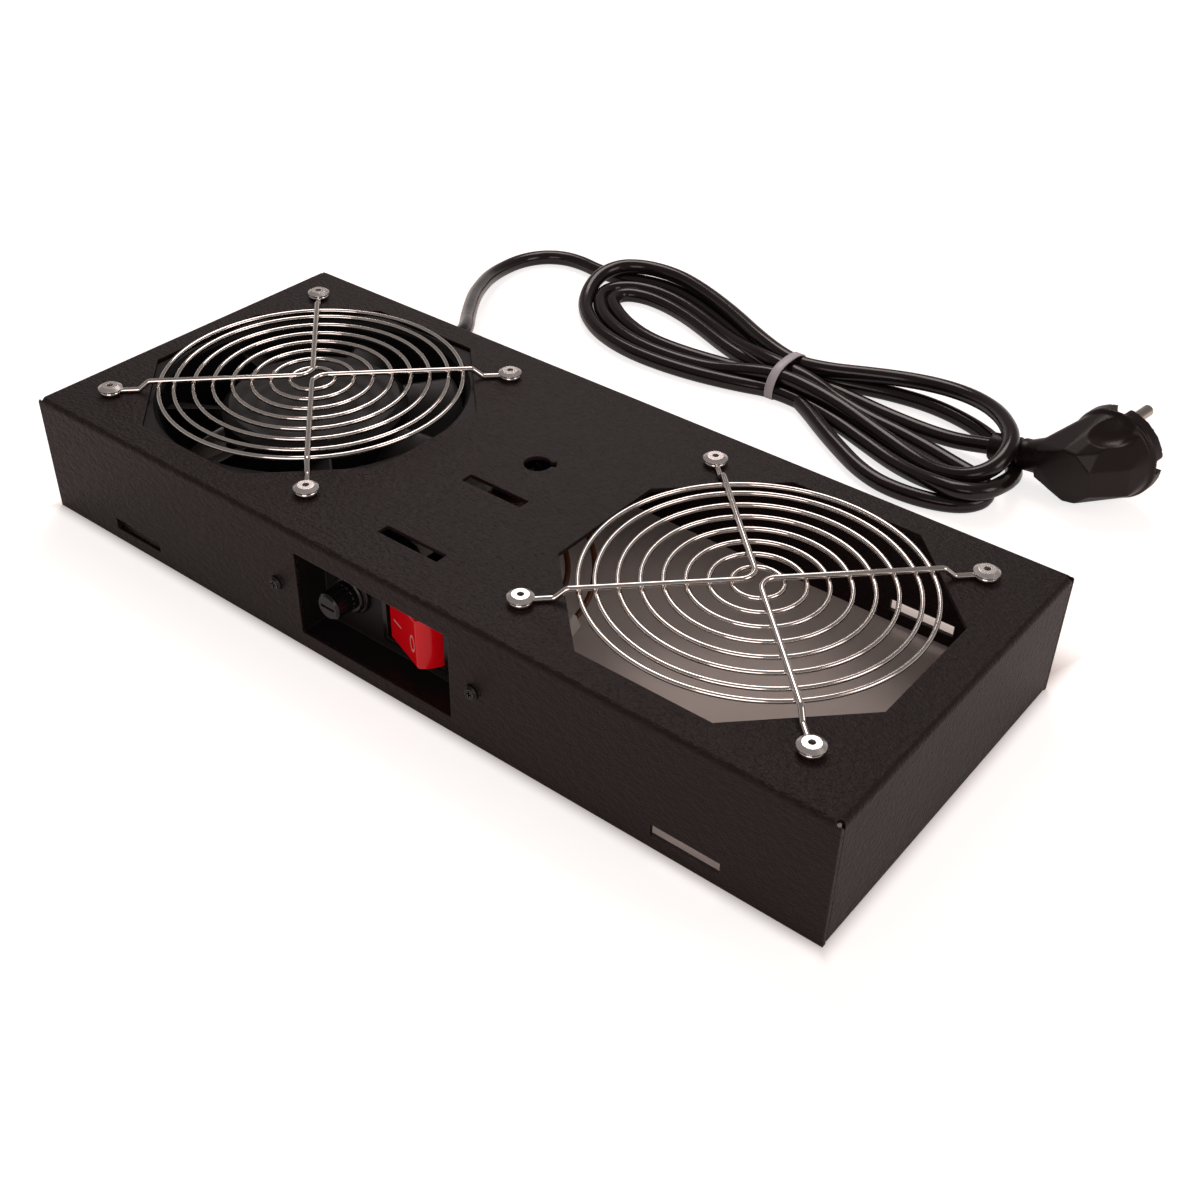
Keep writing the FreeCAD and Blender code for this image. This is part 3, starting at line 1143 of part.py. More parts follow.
def earth_nut():
    """Nut that clamps the ring tongue."""
    top = UNDER_Z - 0.8 - RING_TONGUE_THICKNESS
    start = Vec(EARTH_X, EARTH_Y, top - EARTH_NUT_HEIGHT)
    nut = regular_prism(6, EARTH_NUT, EARTH_NUT_HEIGHT, start, Z_AXIS)
    return nut.cut(rod(STUD_DIAMETER / 2, EARTH_NUT_HEIGHT, start, Z_AXIS))


EARTH_BARREL_Y = EARTH_Y + RING_TONGUE / 2 + 5.0


def earth_tongue():
    """Ring tongue with its crimped barrel."""
    z = UNDER_Z - 0.8 - RING_TONGUE_THICKNESS
    ring = rod(RING_TONGUE / 2, RING_TONGUE_THICKNESS, Vec(EARTH_X, EARTH_Y, z), Z_AXIS)
    strap = box(
        EARTH_X - 1.6, EARTH_X + 1.6, EARTH_Y + STUD_DIAMETER / 2 + 0.5, EARTH_BARREL_Y,
        z, z + RING_TONGUE_THICKNESS)
    start = Vec(EARTH_X, EARTH_BARREL_Y - 2.0, EARTH_LEAD_Z)
    barrel = rod(2.0, LEAD_GRIP + 2.0, start, Y_AXIS)
    hole = rod(STUD_DIAMETER / 2, 3.0, Vec(EARTH_X, EARTH_Y, z - 1), Z_AXIS)
    return fused([ring, strap, barrel]).cut(hole)


CORE_Y = BACK_INNER_Y - BUSHING_INSIDE - SHEATH_INSIDE
LANE_Y = CORE_Y - LANE_BEND
EARTH_LEAD_Z = UNDER_Z - 2.0 - RING_TONGUE_THICKNESS
SPLICE_MOUTH_X = SPLICE_X + SPLICE_LENGTH


def from_lane(points):
    """Lead points whose second value counts forward from the lane behind the fan."""
    return tuple((x, LANE_Y - forward, z) for x, forward, z in points)


def from_panel(points):
    """Lead points whose second value counts back from the control panel's face."""
    return tuple((x, PANEL_Y + back, z) for x, back, z in points)


def run_out(x, y, z):
    """The straight start of a lead out of the back of a connector."""
    return ((x, y, z), (x, y + LEAD_RUN_IN, z))


def lane_points(angle, level):
    """A core leaves the sheath, turns along the back wall and passes the fan at its own level."""
    x = BUSHING_X + CORE_SPREAD * math.cos(math.radians(angle))
    start_z = BUSHING_Z + CORE_SPREAD * math.sin(math.radians(angle))
    reach = FAN_RIGHT - x
    z = BUSHING_Z + level
    return (
        (x, CORE_Y - CORE_GAP, start_z), (x + reach * 0.03, LANE_Y, z + LANE_SAG),
        (x + reach * 0.22, LANE_Y - LANE_SAG, z), (x + reach * 0.6, LANE_Y + LANE_SAG, z - LANE_SAG),
        (x + reach * 0.95, LANE_Y - LANE_SAG, z - 2 * LANE_SAG))


def brown_leads():
    """Live wires: supply to fuse, fuse to switch, switch to the splice."""
    supply = cord(
        lane_points(90, BROWN_LEVEL) + from_lane(SUPPLY_BROWN_BACK) + from_panel(SUPPLY_BROWN_FRONT) +
        run_out(FUSE_X, FUSE_LEAD_Y, RECESS_Z)[::-1], CORE_DIAMETER, "supply brown")
    x_in, z_in = TAB_PLACES[0]
    link = cord(
        run_out(FUSE_X, SIDE_LEAD_Y, SIDE_TAB_Z) + from_panel(LINK_FRONT) +
        run_out(x_in, SWITCH_LEAD_Y, z_in)[::-1], LEAD_DIAMETER, "link brown")
    x_out, z_out = TAB_PLACES[2]
    feed = cord(
        run_out(x_out, SWITCH_LEAD_Y, z_out) + from_panel(FEED_BROWN_FRONT) +
        splice_entry(0, 0, -SPLICE_DROP), LEAD_DIAMETER, "feed brown")
    return group([supply, link, feed])


def splice_entry(which, dy, dz):
    """The last straight run into a splice cap."""
    y, z = SPLICE_Y[which] + dy, SPLICE_Z + dz
    return ((SPLICE_MOUTH_X + LEAD_RUN_IN, y, z), (SPLICE_MOUTH_X - SPLICE_GRIP, y, z))


def blue_leads():
    """Neutral wires: supply to switch, switch to the splice."""
    x_in, z_in = TAB_PLACES[1]
    supply = cord(
        lane_points(-38, BLUE_LEVEL) + from_lane(SUPPLY_BLUE_BACK) + from_panel(SUPPLY_BLUE_FRONT) +
        run_out(x_in, SWITCH_LEAD_Y, z_in)[::-1], CORE_DIAMETER, "supply blue")
    x_out, z_out = TAB_PLACES[3]
    feed = cord(
        run_out(x_out, SWITCH_LEAD_Y, z_out) + from_panel(FEED_BLUE_FRONT) +
        splice_entry(1, 0, -SPLICE_DROP), LEAD_DIAMETER, "feed blue")
    return group([supply, feed])


def earth_lead():
    """Green and yellow wire from the cord to the earth stud."""
    end = EARTH_BARREL_Y + LEAD_GRIP
    return cord(
        lane_points(218, EARTH_LEVEL) + from_lane(EARTH_BACK) +
        ((EARTH_X, end + LEAD_RUN_IN, EARTH_LEAD_Z), (EARTH_X, end, EARTH_LEAD_Z)), CORE_DIAMETER, "earth")


def splice_caps():
    """Closed nylon caps crimped over the joined wires."""
    caps = []
    radius = SPLICE_DIAMETER / 2
    for y in SPLICE_Y:
        cap = turned((
            (0, 0), (radius * 0.6, 0), (radius, radius * 0.4), (radius, SPLICE_LENGTH), (0, SPLICE_LENGTH)),
            Vec(SPLICE_X, y, SPLICE_Z), X_AXIS)
        bottom_x = SPLICE_MOUTH_X - SPLICE_GRIP
        bores = [
            rod(LEAD_DIAMETER / 2 + LEAD_FIT, SPLICE_GRIP + 1, Vec(bottom_x, y + dy, SPLICE_Z + dz), X_AXIS)
            for dy, dz in ((0, -SPLICE_DROP), (-SPLICE_PITCH, SPLICE_DROP), (SPLICE_PITCH, SPLICE_DROP))]
        caps.append(cap.cut(Part.makeCompound(bores)))
    return group(caps)


def fan_leads():
    """Two wires from the fan's duct to the splices."""
    leads = []
    duct = FAN_BORE / 2 + FAN_DUCT_WALL
    for i, vias in enumerate(FAN_LEAD_VIAS):
        angle = math.radians(FAN_LEAD_ANGLES[i])
        stub = [
            (FAN_X + r * math.cos(angle), r * math.sin(angle), FAN_LEAD_Z)
            for r in (duct, duct + FAN_LEAD_STUB)]
        leads.append(cord(
            tuple(stub) + vias + splice_entry(i, SPLICE_PITCH, SPLICE_DROP),
            LEAD_DIAMETER, f"fan lead {i + 1}"))
    return group(leads)


def spare_leads():
    """Two wires that wait in the empty bay for a second fan."""
    return group([
        cord(
            splice_entry(i, -SPLICE_PITCH, SPLICE_DROP)[::-1] + vias, LEAD_DIAMETER, f"spare lead {i + 1}")
        for i, vias in enumerate(SPARE_LEAD_VIAS)])


def spare_connectors():
    """Push-on receptacles on the spare wires."""
    pieces = []
    for vias in SPARE_LEAD_VIAS:
        end = Vec(*vias[-1])
        along = (end - Vec(*vias[-2])).normalize()
        mouth = end + along * (CONNECTOR_LENGTH - LEAD_GRIP)
        pieces.append(receptacle(mouth, along * -1, True))
    return group(pieces)


PARTS = (
    ("tray", tray),
    ("control_bracket", control_bracket),
    ("bracket_screws", bracket_screws),
    ("finger_guard_left", lambda: finger_guard(BAY_X[0])),
    ("finger_guard_right", lambda: finger_guard(BAY_X[1])),
    ("guard_rivets_left", lambda: guard_rivets(BAY_X[0], TRAY_SHEET + FAN_FLANGE)),
    ("guard_rivets_right", lambda: guard_rivets(BAY_X[1], TRAY_SHEET)),
    ("fan_frame", fan_frame),
    ("fan_impeller", impeller),
    ("rotor_cage", rotor_cage),
    ("rotor_shaft", rotor_shaft),
    ("shaft_clip", shaft_clip),
    ("fan_bearings", fan_bearings),
    ("stator_core", stator_core),
    ("stator_windings", stator_windings),
    ("fan_label", fan_label),
    ("fuse_holder_body", fuse_holder_body),
    ("fuse_holder_nut", fuse_holder_nut),
    ("fuse_cap", fuse_cap),
    ("fuse_carrier", fuse_carrier),
    ("fuse_cartridge", fuse_cartridge),
    ("fuse_end_caps", fuse_end_caps),
    ("fuse_terminals", fuse_terminals),
    ("fuse_connectors", fuse_connectors),
    ("switch_housing", switch_housing),
    ("switch_rocker", switch_rocker),
    ("switch_lamp", switch_lamp),
    ("switch_terminals", switch_terminals),
    ("switch_connectors", switch_connectors),
    ("cord_bushing", cord_bushing),
    ("mains_cord", mains_cord),
    ("cord_hank", cord_hank),
    ("cord_tie", cord_tie),
    ("plug_body", plug_body),
    ("plug_pins", plug_pins),
    ("plug_earth_clips", plug_earth_clips),
    ("earth_stud", earth_stud),
    ("earth_nut", earth_nut),
    ("earth_tongue", earth_tongue),
    ("brown_leads", brown_leads),
    ("blue_leads", blue_leads),
    ("earth_lead", earth_lead),
    ("splice_caps", splice_caps),
    ("fan_leads", fan_leads),
    ("spare_leads", spare_leads),
    ("spare_connectors", spare_connectors),
)

os.makedirs("parts", exist_ok=True)
for node, make in PARTS:
    save(node, make())
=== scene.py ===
# A rack fan tray: a black steel tray with two guarded fan bays, one axial fan, a switch and a
# fuse in a recess of its front wall, and a mains lead tied in a hank behind it. Metres, +Z up,
# in the same frame as the solids.
import math

import bmesh
import bpy
from mathutils import Matrix, Vector


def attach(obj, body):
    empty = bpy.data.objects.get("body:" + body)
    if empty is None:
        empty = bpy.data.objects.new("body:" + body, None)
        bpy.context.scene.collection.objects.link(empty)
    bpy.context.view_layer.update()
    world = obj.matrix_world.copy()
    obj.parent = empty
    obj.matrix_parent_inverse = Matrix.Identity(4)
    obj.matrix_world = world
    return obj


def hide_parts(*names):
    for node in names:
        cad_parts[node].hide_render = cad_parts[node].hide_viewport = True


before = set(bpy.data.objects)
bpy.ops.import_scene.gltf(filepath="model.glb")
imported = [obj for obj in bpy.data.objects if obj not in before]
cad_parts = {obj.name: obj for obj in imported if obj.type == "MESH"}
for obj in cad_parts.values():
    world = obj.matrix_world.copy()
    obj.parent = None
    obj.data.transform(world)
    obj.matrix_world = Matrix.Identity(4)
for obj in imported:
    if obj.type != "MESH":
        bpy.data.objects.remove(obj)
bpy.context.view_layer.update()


# ---- The studio: a pale sweep, soft boxes before the tray, above and behind it and on its right,
# and a camera over its front right corner. White paper is bright to the eye and fainter in gloss,
# but not inside the tray's own footprint, where it only has the light that it gets. Behind the
# rear wall its glow fades in over a band about 33 mm wide, a painted shadow of the tray there.

class Value:
    """A socket in a finish's sums; each operator adds the Math node that works it out."""

    def __init__(self, finish, socket):
        self.finish, self.socket = finish, socket

    def math(self, operation, *terms):
        return self.finish.add("Math", {"operation": operation}, dict(enumerate(terms)))

    def __add__(self, other):
        return self.math("ADD", self, other)

    def __sub__(self, other):
        return self.math("SUBTRACT", self, other)

    def __rsub__(self, other):
        return self.math("SUBTRACT", other, self)

    def __mul__(self, other):
        return self.math("MULTIPLY", self, other)

    def __abs__(self):
        return self.math("ABSOLUTE", self)

    __radd__ = __add__
    __rmul__ = __mul__

    def larger(self, other):
        return self.math("MAXIMUM", self, other)

    def between(self, low, high):
        """0 below low, 1 above high, smooth in between."""
        return self.finish.add(
            "MapRange", {"interpolation_type": "SMOOTHSTEP"},
            {"Value": self, "From Min": low, "From Max": high})


class Finish:
    """A material, or the sky, and the nodes that vary it from place to place."""

    def __init__(self, owner, **shader):
        self.material = bpy.data.materials.new(owner) if isinstance(owner, str) else owner
        self.material.use_nodes = True
        self.tree = self.material.node_tree
        self.shader = self.tree.nodes.get("Principled BSDF") or self.tree.nodes["Background"]
        self.give(**shader)
        self.place = self.add("TexCoord", out="Object")

    def add(self, kind, settings=None, sockets=None, out=0):
        """A node of that kind, its settings first, then its sockets' values or links."""
        node = self.tree.nodes.new("ShaderNode" + kind)
        for name, setting in (settings or {}).items():
            setattr(node, name, setting)
        self.fill(node, sockets or {})
        return Value(self, node.outputs[out])

    def fill(self, node, sockets):
        for name, value in sockets.items():
            if isinstance(value, Value):
                self.tree.links.new(value.socket, node.inputs[name])
            else:
                node.inputs[name].default_value = value

    def give(self, **sockets):
        """Values or links of the shader, such as base_color."""
        names = {socket.name.lower().replace(" ", "_"): socket.name for socket in self.shader.inputs}
        self.fill(self.shader, {names[name]: value for name, value in sockets.items()})

    def axes(self):
        """The place along X, Y and Z."""
        parts = self.add("SeparateXYZ", sockets={"Vector": self.place}).socket.node.outputs
        return [Value(self, part) for part in parts]

    def grain(self, size, detail=2.0, stretch=(1, 1, 1)):
        """Cloudy noise, 0 to 1, in patches of about that size, stretched along an axis."""
        place = self.add(
            "VectorMath", {"operation": "MULTIPLY"}, {0: self.place, 1: [1 / (size * s) for s in stretch]})
        return self.add("TexNoise", sockets={"Vector": place, "Scale": 1.0, "Detail": detail})

    def blend(self, share, low, high):
        """The colour low turning to high as share goes from 0 to 1."""
        return self.add("Mix", {"data_type": "RGBA"}, {0: share, 6: low, 7: high}, out=2)

    def edges(self, radius):
        """1 on edges that hands and tools have rubbed, 0 on the faces between them."""
        rounded = self.add("Bevel", {"samples": 4}, {"Radius": radius})
        true = self.add("NewGeometry", out="Normal")
        facing = self.add("VectorMath", {"operation": "DOT_PRODUCT"}, {0: rounded, 1: true}, out="Value")
        return (1 - facing).between(0.02, 0.16)

    def relief(self, height, depth, soften=None):
        """Bump of that depth in metres, over edges softened to a radius."""
        sockets = {"Height": height, "Distance": depth}
        if soften:
            sockets["Normal"] = self.add("Bevel", {"samples": 4}, {"Radius": soften})
        self.give(normal=self.add("Bump", sockets=sockets))


def tint(red, green, blue):
    """A colour by its 0 to 255 screen values."""
    return [((c / 255 + 0.055) / 1.055) ** 2.4 if c > 10 else c / 3295 for c in (red, green, blue)] + [1]


def seen_directly(finish):
    """1 for the eye and through glass, a third in mirrors, 0 for the light that falls on things."""
    eye, mirror, through = (
        finish.add("LightPath", out="Is %s Ray" % kind) for kind in ("Camera", "Glossy", "Transmission"))
    return eye + mirror * 0.35 + through


def sheet_mesh(name, corners):
    """One flat face."""
    mesh = bpy.data.meshes.new(name)
    mesh.from_pydata(corners, [], [range(len(corners))])
    return bpy.data.objects.new(name, mesh)


def softbox(name, size, power, place):
    """A square soft lamp, a little warm, that faces the tray."""
    lamp = bpy.data.objects.new(name, bpy.data.lights.new(name, "AREA"))
    lamp.data.size = size
    lamp.data.energy = power
    lamp.data.color = (1, 0.88, 0.85)
    lamp.location = place
    lamp.rotation_euler = Vector(place).to_track_quat("Z", "Y").to_euler()
    bpy.context.scene.collection.objects.link(lamp)


camera = bpy.data.objects.new("camera", bpy.data.cameras.new("camera"))
camera.data.lens = 45.478
camera.data.sensor_width = 36
camera_right = Vector((0.78509, 0.61902, 0.02114))
camera_ahead = Vector((-0.48257, 0.63270, -0.60566))
camera_axes = Matrix((camera_right, camera_right.cross(camera_ahead), -camera_ahead)).transposed()
camera.matrix_world = Matrix.Translation((0.29011, -0.33263, 0.33168)) @ camera_axes.to_4x4()
bpy.context.scene.collection.objects.link(camera)
bpy.context.scene.camera = camera
bpy.context.scene.view_settings.view_transform = "Standard"

paper = sheet_mesh("floor", [(-4, -4, 0), (4, -4, 0), (4, 4, 0), (-4, 4, 0)])
bpy.context.scene.collection.objects.link(paper)
pale = Finish("pale paper", base_color=tint(230, 217, 211), roughness=0.9, emission_strength=1.0)
across, along, up = pale.axes()
shaded_half_length, shaded_half_depth = 0.166, 0.066
# Behind the rear wall the glow's distance is stretched so it fades in slowly: a painted shadow on the floor.
to_the_front, behind_in_painted_shadow = -shaded_half_depth - along, (along - shaded_half_depth) * 0.3
glow_share_past_painted_shadow = (abs(across) - shaded_half_length).larger(to_the_front.larger(behind_in_painted_shadow)).between(0.002, 0.012)
paper_glow = [0.75, 0.75, 0.75, 1]
pale.give(emission_color=pale.blend(glow_share_past_painted_shadow * seen_directly(pale), tint(0, 0, 0), paper_glow))
paper.data.materials.append(pale.material)

sky = bpy.context.scene.world or bpy.data.worlds.new("sky")
bpy.context.scene.world = sky
room = Finish(sky)
upward = room.add("SeparateXYZ", sockets={"Vector": room.add("TexCoord", out="Generated")}, out=2)
dusk, dim, bright = [0.10, 0.09, 0.087, 1], [0.26, 0.235, 0.225, 1], [1, 0.97, 0.96, 1]
ceiling = room.blend(upward.between(0.06, 0.34), bright, dusk)
room.give(color=room.blend(seen_directly(room), dim, ceiling))

softbox("front softbox", 0.9, 5.2, (0.55, -1.2, 0.55))
softbox("overhead softbox", 0.8, 9, (-0.6, 0.8, 1.3))
softbox("side softbox", 0.6, 3, (1.2, 0.3, 0.7))


# ---- The tray: one sheet of 1.5 mm steel, folded down at four sides and powder coated in black
# with a fine leather grain. Handling has polished its edges a little.

def dress(finish, *names):
    """Solids that keep their own shape get their finish."""
    for name in names:
        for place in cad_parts[name].material_slots:
            place.material = finish.material


powder = Finish("black powder coat", specular_ior_level=0.2)
leather = powder.grain(0.0017, 3.0, (1.5, 0.75, 1)) * 0.7 + powder.grain(0.0007, 2.0) * 0.3
patches = powder.grain(0.045, 3.0)
rubbed = powder.edges(0.0008)
coat = powder.blend(patches, tint(28, 16, 16), tint(33, 20, 20))
powder.give(
    base_color=powder.blend(rubbed, coat, tint(66, 54, 53)),
    roughness=0.36 + leather * 0.16 + patches * 0.06)
powder.relief(leather, 0.0009, soften=0.0007)
dress(powder, "tray")


# ---- The control bracket: a smaller folded sheet behind the recess, in the same coat but
# smoother, held by two small black screws.

smooth_coat = Finish("smooth black coat", specular_ior_level=0.4)
mottle = smooth_coat.grain(0.0009, 3.0)
smooth_coat.give(
    base_color=smooth_coat.blend(smooth_coat.edges(0.0006), tint(19, 14, 14), tint(52, 46, 45)),
    roughness=0.42 + mottle * 0.12)
smooth_coat.relief(mottle, 0.00004, soften=0.0004)
dress(smooth_coat, "control_bracket")

blackened = Finish("blackened screws", metallic=0.85)
scratches = blackened.grain(0.0006, 4.0)
blackened.give(
    base_color=blackened.blend(blackened.edges(0.0003), tint(40, 38, 38), tint(150, 146, 142)),
    roughness=0.34 + scratches * 0.2)
dress(blackened, "bracket_screws")


# ---- The finger guards: rings of steel wire welded on two bent spokes and chrome plated, with
# an eye at each spoke's end for the rivet that holds it down.

chrome = Finish("chromed wire", metallic=1.0)
drawn = chrome.grain(0.006, 3.0)
dulled = chrome.grain(0.012, 2.0)
chrome.give(
    base_color=chrome.blend(dulled, tint(238, 232, 227), tint(216, 209, 204)),
    roughness=0.05 + drawn * 0.04 + dulled * 0.05)
chrome.relief(drawn, 0.00001)
dress(chrome, "finger_guard_left", "finger_guard_right")

plated = Finish("plated rivets", metallic=0.9)
swirl = plated.grain(0.0009, 4.0)
plated.give(
    base_color=plated.blend(swirl, tint(240, 236, 233), tint(222, 217, 214)),
    roughness=0.22 + swirl * 0.1)
plated.relief(swirl, 0.00001, soften=0.0002)
dress(plated, "guard_rivets_left", "guard_rivets_right")


# ---- The fan: a die-cast frame painted black, with a moulded impeller of seven blades pressed
# on the steel can of an outer rotor, and the wound stator on the frame's hub.

casting = Finish("painted casting", specular_ior_level=0.25)
pitted = casting.grain(0.0008, 4.0)
casting.give(
    base_color=casting.blend(casting.edges(0.0006), tint(17, 14, 14), tint(48, 44, 43)),
    roughness=0.44 + pitted * 0.2)
casting.relief(pitted, 0.00007, soften=0.0005)
dress(casting, "fan_frame")

moulded = Finish("moulded fan plastic", specular_ior_level=0.3)
flow = moulded.grain(0.006, 2.0, (1, 1, 0.3))
sparkle = moulded.grain(0.0004, 2.0)
moulded.give(
    base_color=moulded.blend(flow, tint(15, 12, 12), tint(21, 18, 18)), roughness=0.36 + sparkle * 0.14)
moulded.relief(sparkle, 0.00002, soften=0.0005)
dress(moulded, "fan_impeller")

can = Finish("pressed steel can", metallic=1.0)
spun = can.grain(0.0012, 3.0, (1, 1, 3))
can.give(base_color=can.blend(spun, tint(92, 88, 86), tint(118, 114, 110)), roughness=0.3 + spun * 0.15)
dress(can, "rotor_cage", "shaft_clip")

ground = Finish("ground steel", metallic=1.0)
lathe = ground.grain(0.0004, 2.0, (1, 1, 8))
ground.give(base_color=tint(188, 186, 184), roughness=0.12 + lathe * 0.18)
ground.relief(lathe, 0.00001)
dress(ground, "rotor_shaft", "fan_bearings")

laminated = Finish("stacked laminations", metallic=0.9)
leaves = laminated.grain(0.0005, 1.0, (40, 40, 1))
laminated.give(
    base_color=laminated.blend(leaves, tint(62, 60, 62), tint(112, 108, 106)),
    roughness=0.4 + leaves * 0.2)
laminated.relief(leaves, 0.00008)
dress(laminated, "stator_core")

winding = Finish("enamelled winding", metallic=1.0)
turns = winding.grain(0.0006, 1.0, (20, 20, 1))
winding.give(
    base_color=winding.blend(turns, tint(150, 74, 40), tint(205, 118, 70)),
    roughness=0.22 + turns * 0.15)
winding.relief(turns, 0.0001)
dress(winding, "stator_windings")

foil = Finish("label foil", metallic=0.6)
brushed = foil.grain(0.0005, 3.0, (14, 1, 1))
foil.give(
    base_color=foil.blend(brushed, tint(176, 176, 176), tint(204, 204, 204)),
    roughness=0.3 + brushed * 0.12)
foil.relief(brushed, 0.00001)
dress(foil, "fan_label")


# ---- The fuse holder: a glossy black moulding through the recess panel, its nut behind, and a
# bayonet cap with the fuse's carrier. The glass fuse sits between tinned clips.

phenolic = Finish("glossy black moulding", specular_ior_level=0.35)
haze = phenolic.grain(0.003, 3.0)
phenolic.give(
    base_color=phenolic.blend(phenolic.edges(0.0004), tint(17, 15, 15), tint(60, 57, 56)),
    roughness=0.14 + haze * 0.12)
phenolic.relief(phenolic.grain(0.0006, 2.0), 0.00002, soften=0.0004)
dress(phenolic, "fuse_holder_body", "fuse_cap", "fuse_carrier", "switch_housing")

nylon_nut = Finish("black nylon")
cloudy = nylon_nut.grain(0.002, 3.0)
nylon_nut.give(base_color=tint(31, 30, 30), roughness=0.42 + cloudy * 0.15)
nylon_nut.relief(cloudy, 0.00003, soften=0.0004)
dress(nylon_nut, "fuse_holder_nut")

glass = Finish("fuse glass", transmission_weight=1.0, ior=1.5)
film = glass.grain(0.004, 2.0)
glass.give(base_color=tint(246, 248, 247), roughness=0.02 + film * 0.04)
dress(glass, "fuse_cartridge")

nickel = Finish("nickel plate", metallic=1.0)
worn = nickel.grain(0.0012, 4.0)
nickel.give(
    base_color=nickel.blend(worn, tint(208, 202, 192), tint(182, 175, 165)), roughness=0.14 + worn * 0.16)
nickel.relief(worn, 0.00002, soften=0.0003)
dress(nickel, "fuse_end_caps", "earth_stud", "earth_nut", "plug_pins")

tinned = Finish("tinned brass", metallic=1.0)
dull = tinned.grain(0.0015, 4.0)
tin_coat = tinned.blend(dull, tint(196, 190, 178), tint(168, 161, 148))
tinned.give(
    base_color=tinned.blend(tinned.edges(0.0002), tin_coat, tint(206, 172, 104)),
    roughness=0.26 + dull * 0.16)
dress(tinned, "fuse_terminals", "switch_terminals", "earth_tongue", "plug_earth_clips")


# ---- The rocker switch: a black frame snapped into the panel and a see-through red rocker over
# a neon lamp, marked with a bar and a ring.

lens = Finish("clear red rocker", transmission_weight=0.12, ior=1.49)
streaks = lens.grain(0.005, 2.0)
across, along, up = lens.axes()
bar_x, bar_z, bar_half_width, bar_half_height = 0.0005, 0.0223, 0.0026, 0.0003
off_bar = (abs(across - bar_x) - bar_half_width).larger(abs(up - bar_z) - bar_half_height)
ring_x, ring_z, ring_half_width, ring_half_height = 0.0106, 0.0214, 0.0013, 0.003
aside, above = (across - ring_x) * (1 / ring_half_width), (up - ring_z) * (1 / ring_half_height)
reach = aside * aside + above * above
off_ring = abs(reach.math("SQRT", reach) - 1) - 0.15
unmarked = off_bar.between(-0.0001, 0.0001) * off_ring.between(-0.05, 0.05)
red = lens.blend(streaks, tint(255, 16, 34), tint(248, 5, 22))
lens.give(base_color=lens.blend(unmarked, tint(255, 190, 186), red), roughness=0.12 + streaks * 0.08)
dress(lens, "switch_rocker")

lamp_glass = Finish("lamp glass", transmission_weight=0.8, ior=1.5)
glow = lamp_glass.blend(lamp_glass.grain(0.002), tint(250, 214, 190), tint(236, 170, 140))
lamp_glass.give(base_color=glow, roughness=0.05)
dress(lamp_glass, "switch_lamp")

sleeve_nylon = Finish("white nylon")
milky = sleeve_nylon.grain(0.003, 3.0)
sleeve_nylon.give(
    base_color=sleeve_nylon.blend(milky, tint(226, 223, 214), tint(210, 206, 196)),
    roughness=0.34 + milky * 0.14)
sleeve_nylon.relief(milky, 0.00003, soften=0.0003)
dress(sleeve_nylon, "splice_caps", "fuse_connectors", "switch_connectors", "spare_connectors")


# ---- The mains lead: 2 m of 7 mm black PVC flex out of a rubber bushing in the rear wall, folded
# into a hank of two fanned lobes that a nylon strap ties at the waist, with a moulded plug.

rubber = Finish("black rubber")
bloom = rubber.grain(0.002, 3.0)
rubber.give(base_color=rubber.blend(bloom, tint(27, 26, 26), tint(38, 37, 37)), roughness=0.55 + bloom * 0.15)
rubber.relief(bloom, 0.00004, soften=0.0005)
dress(rubber, "cord_bushing")

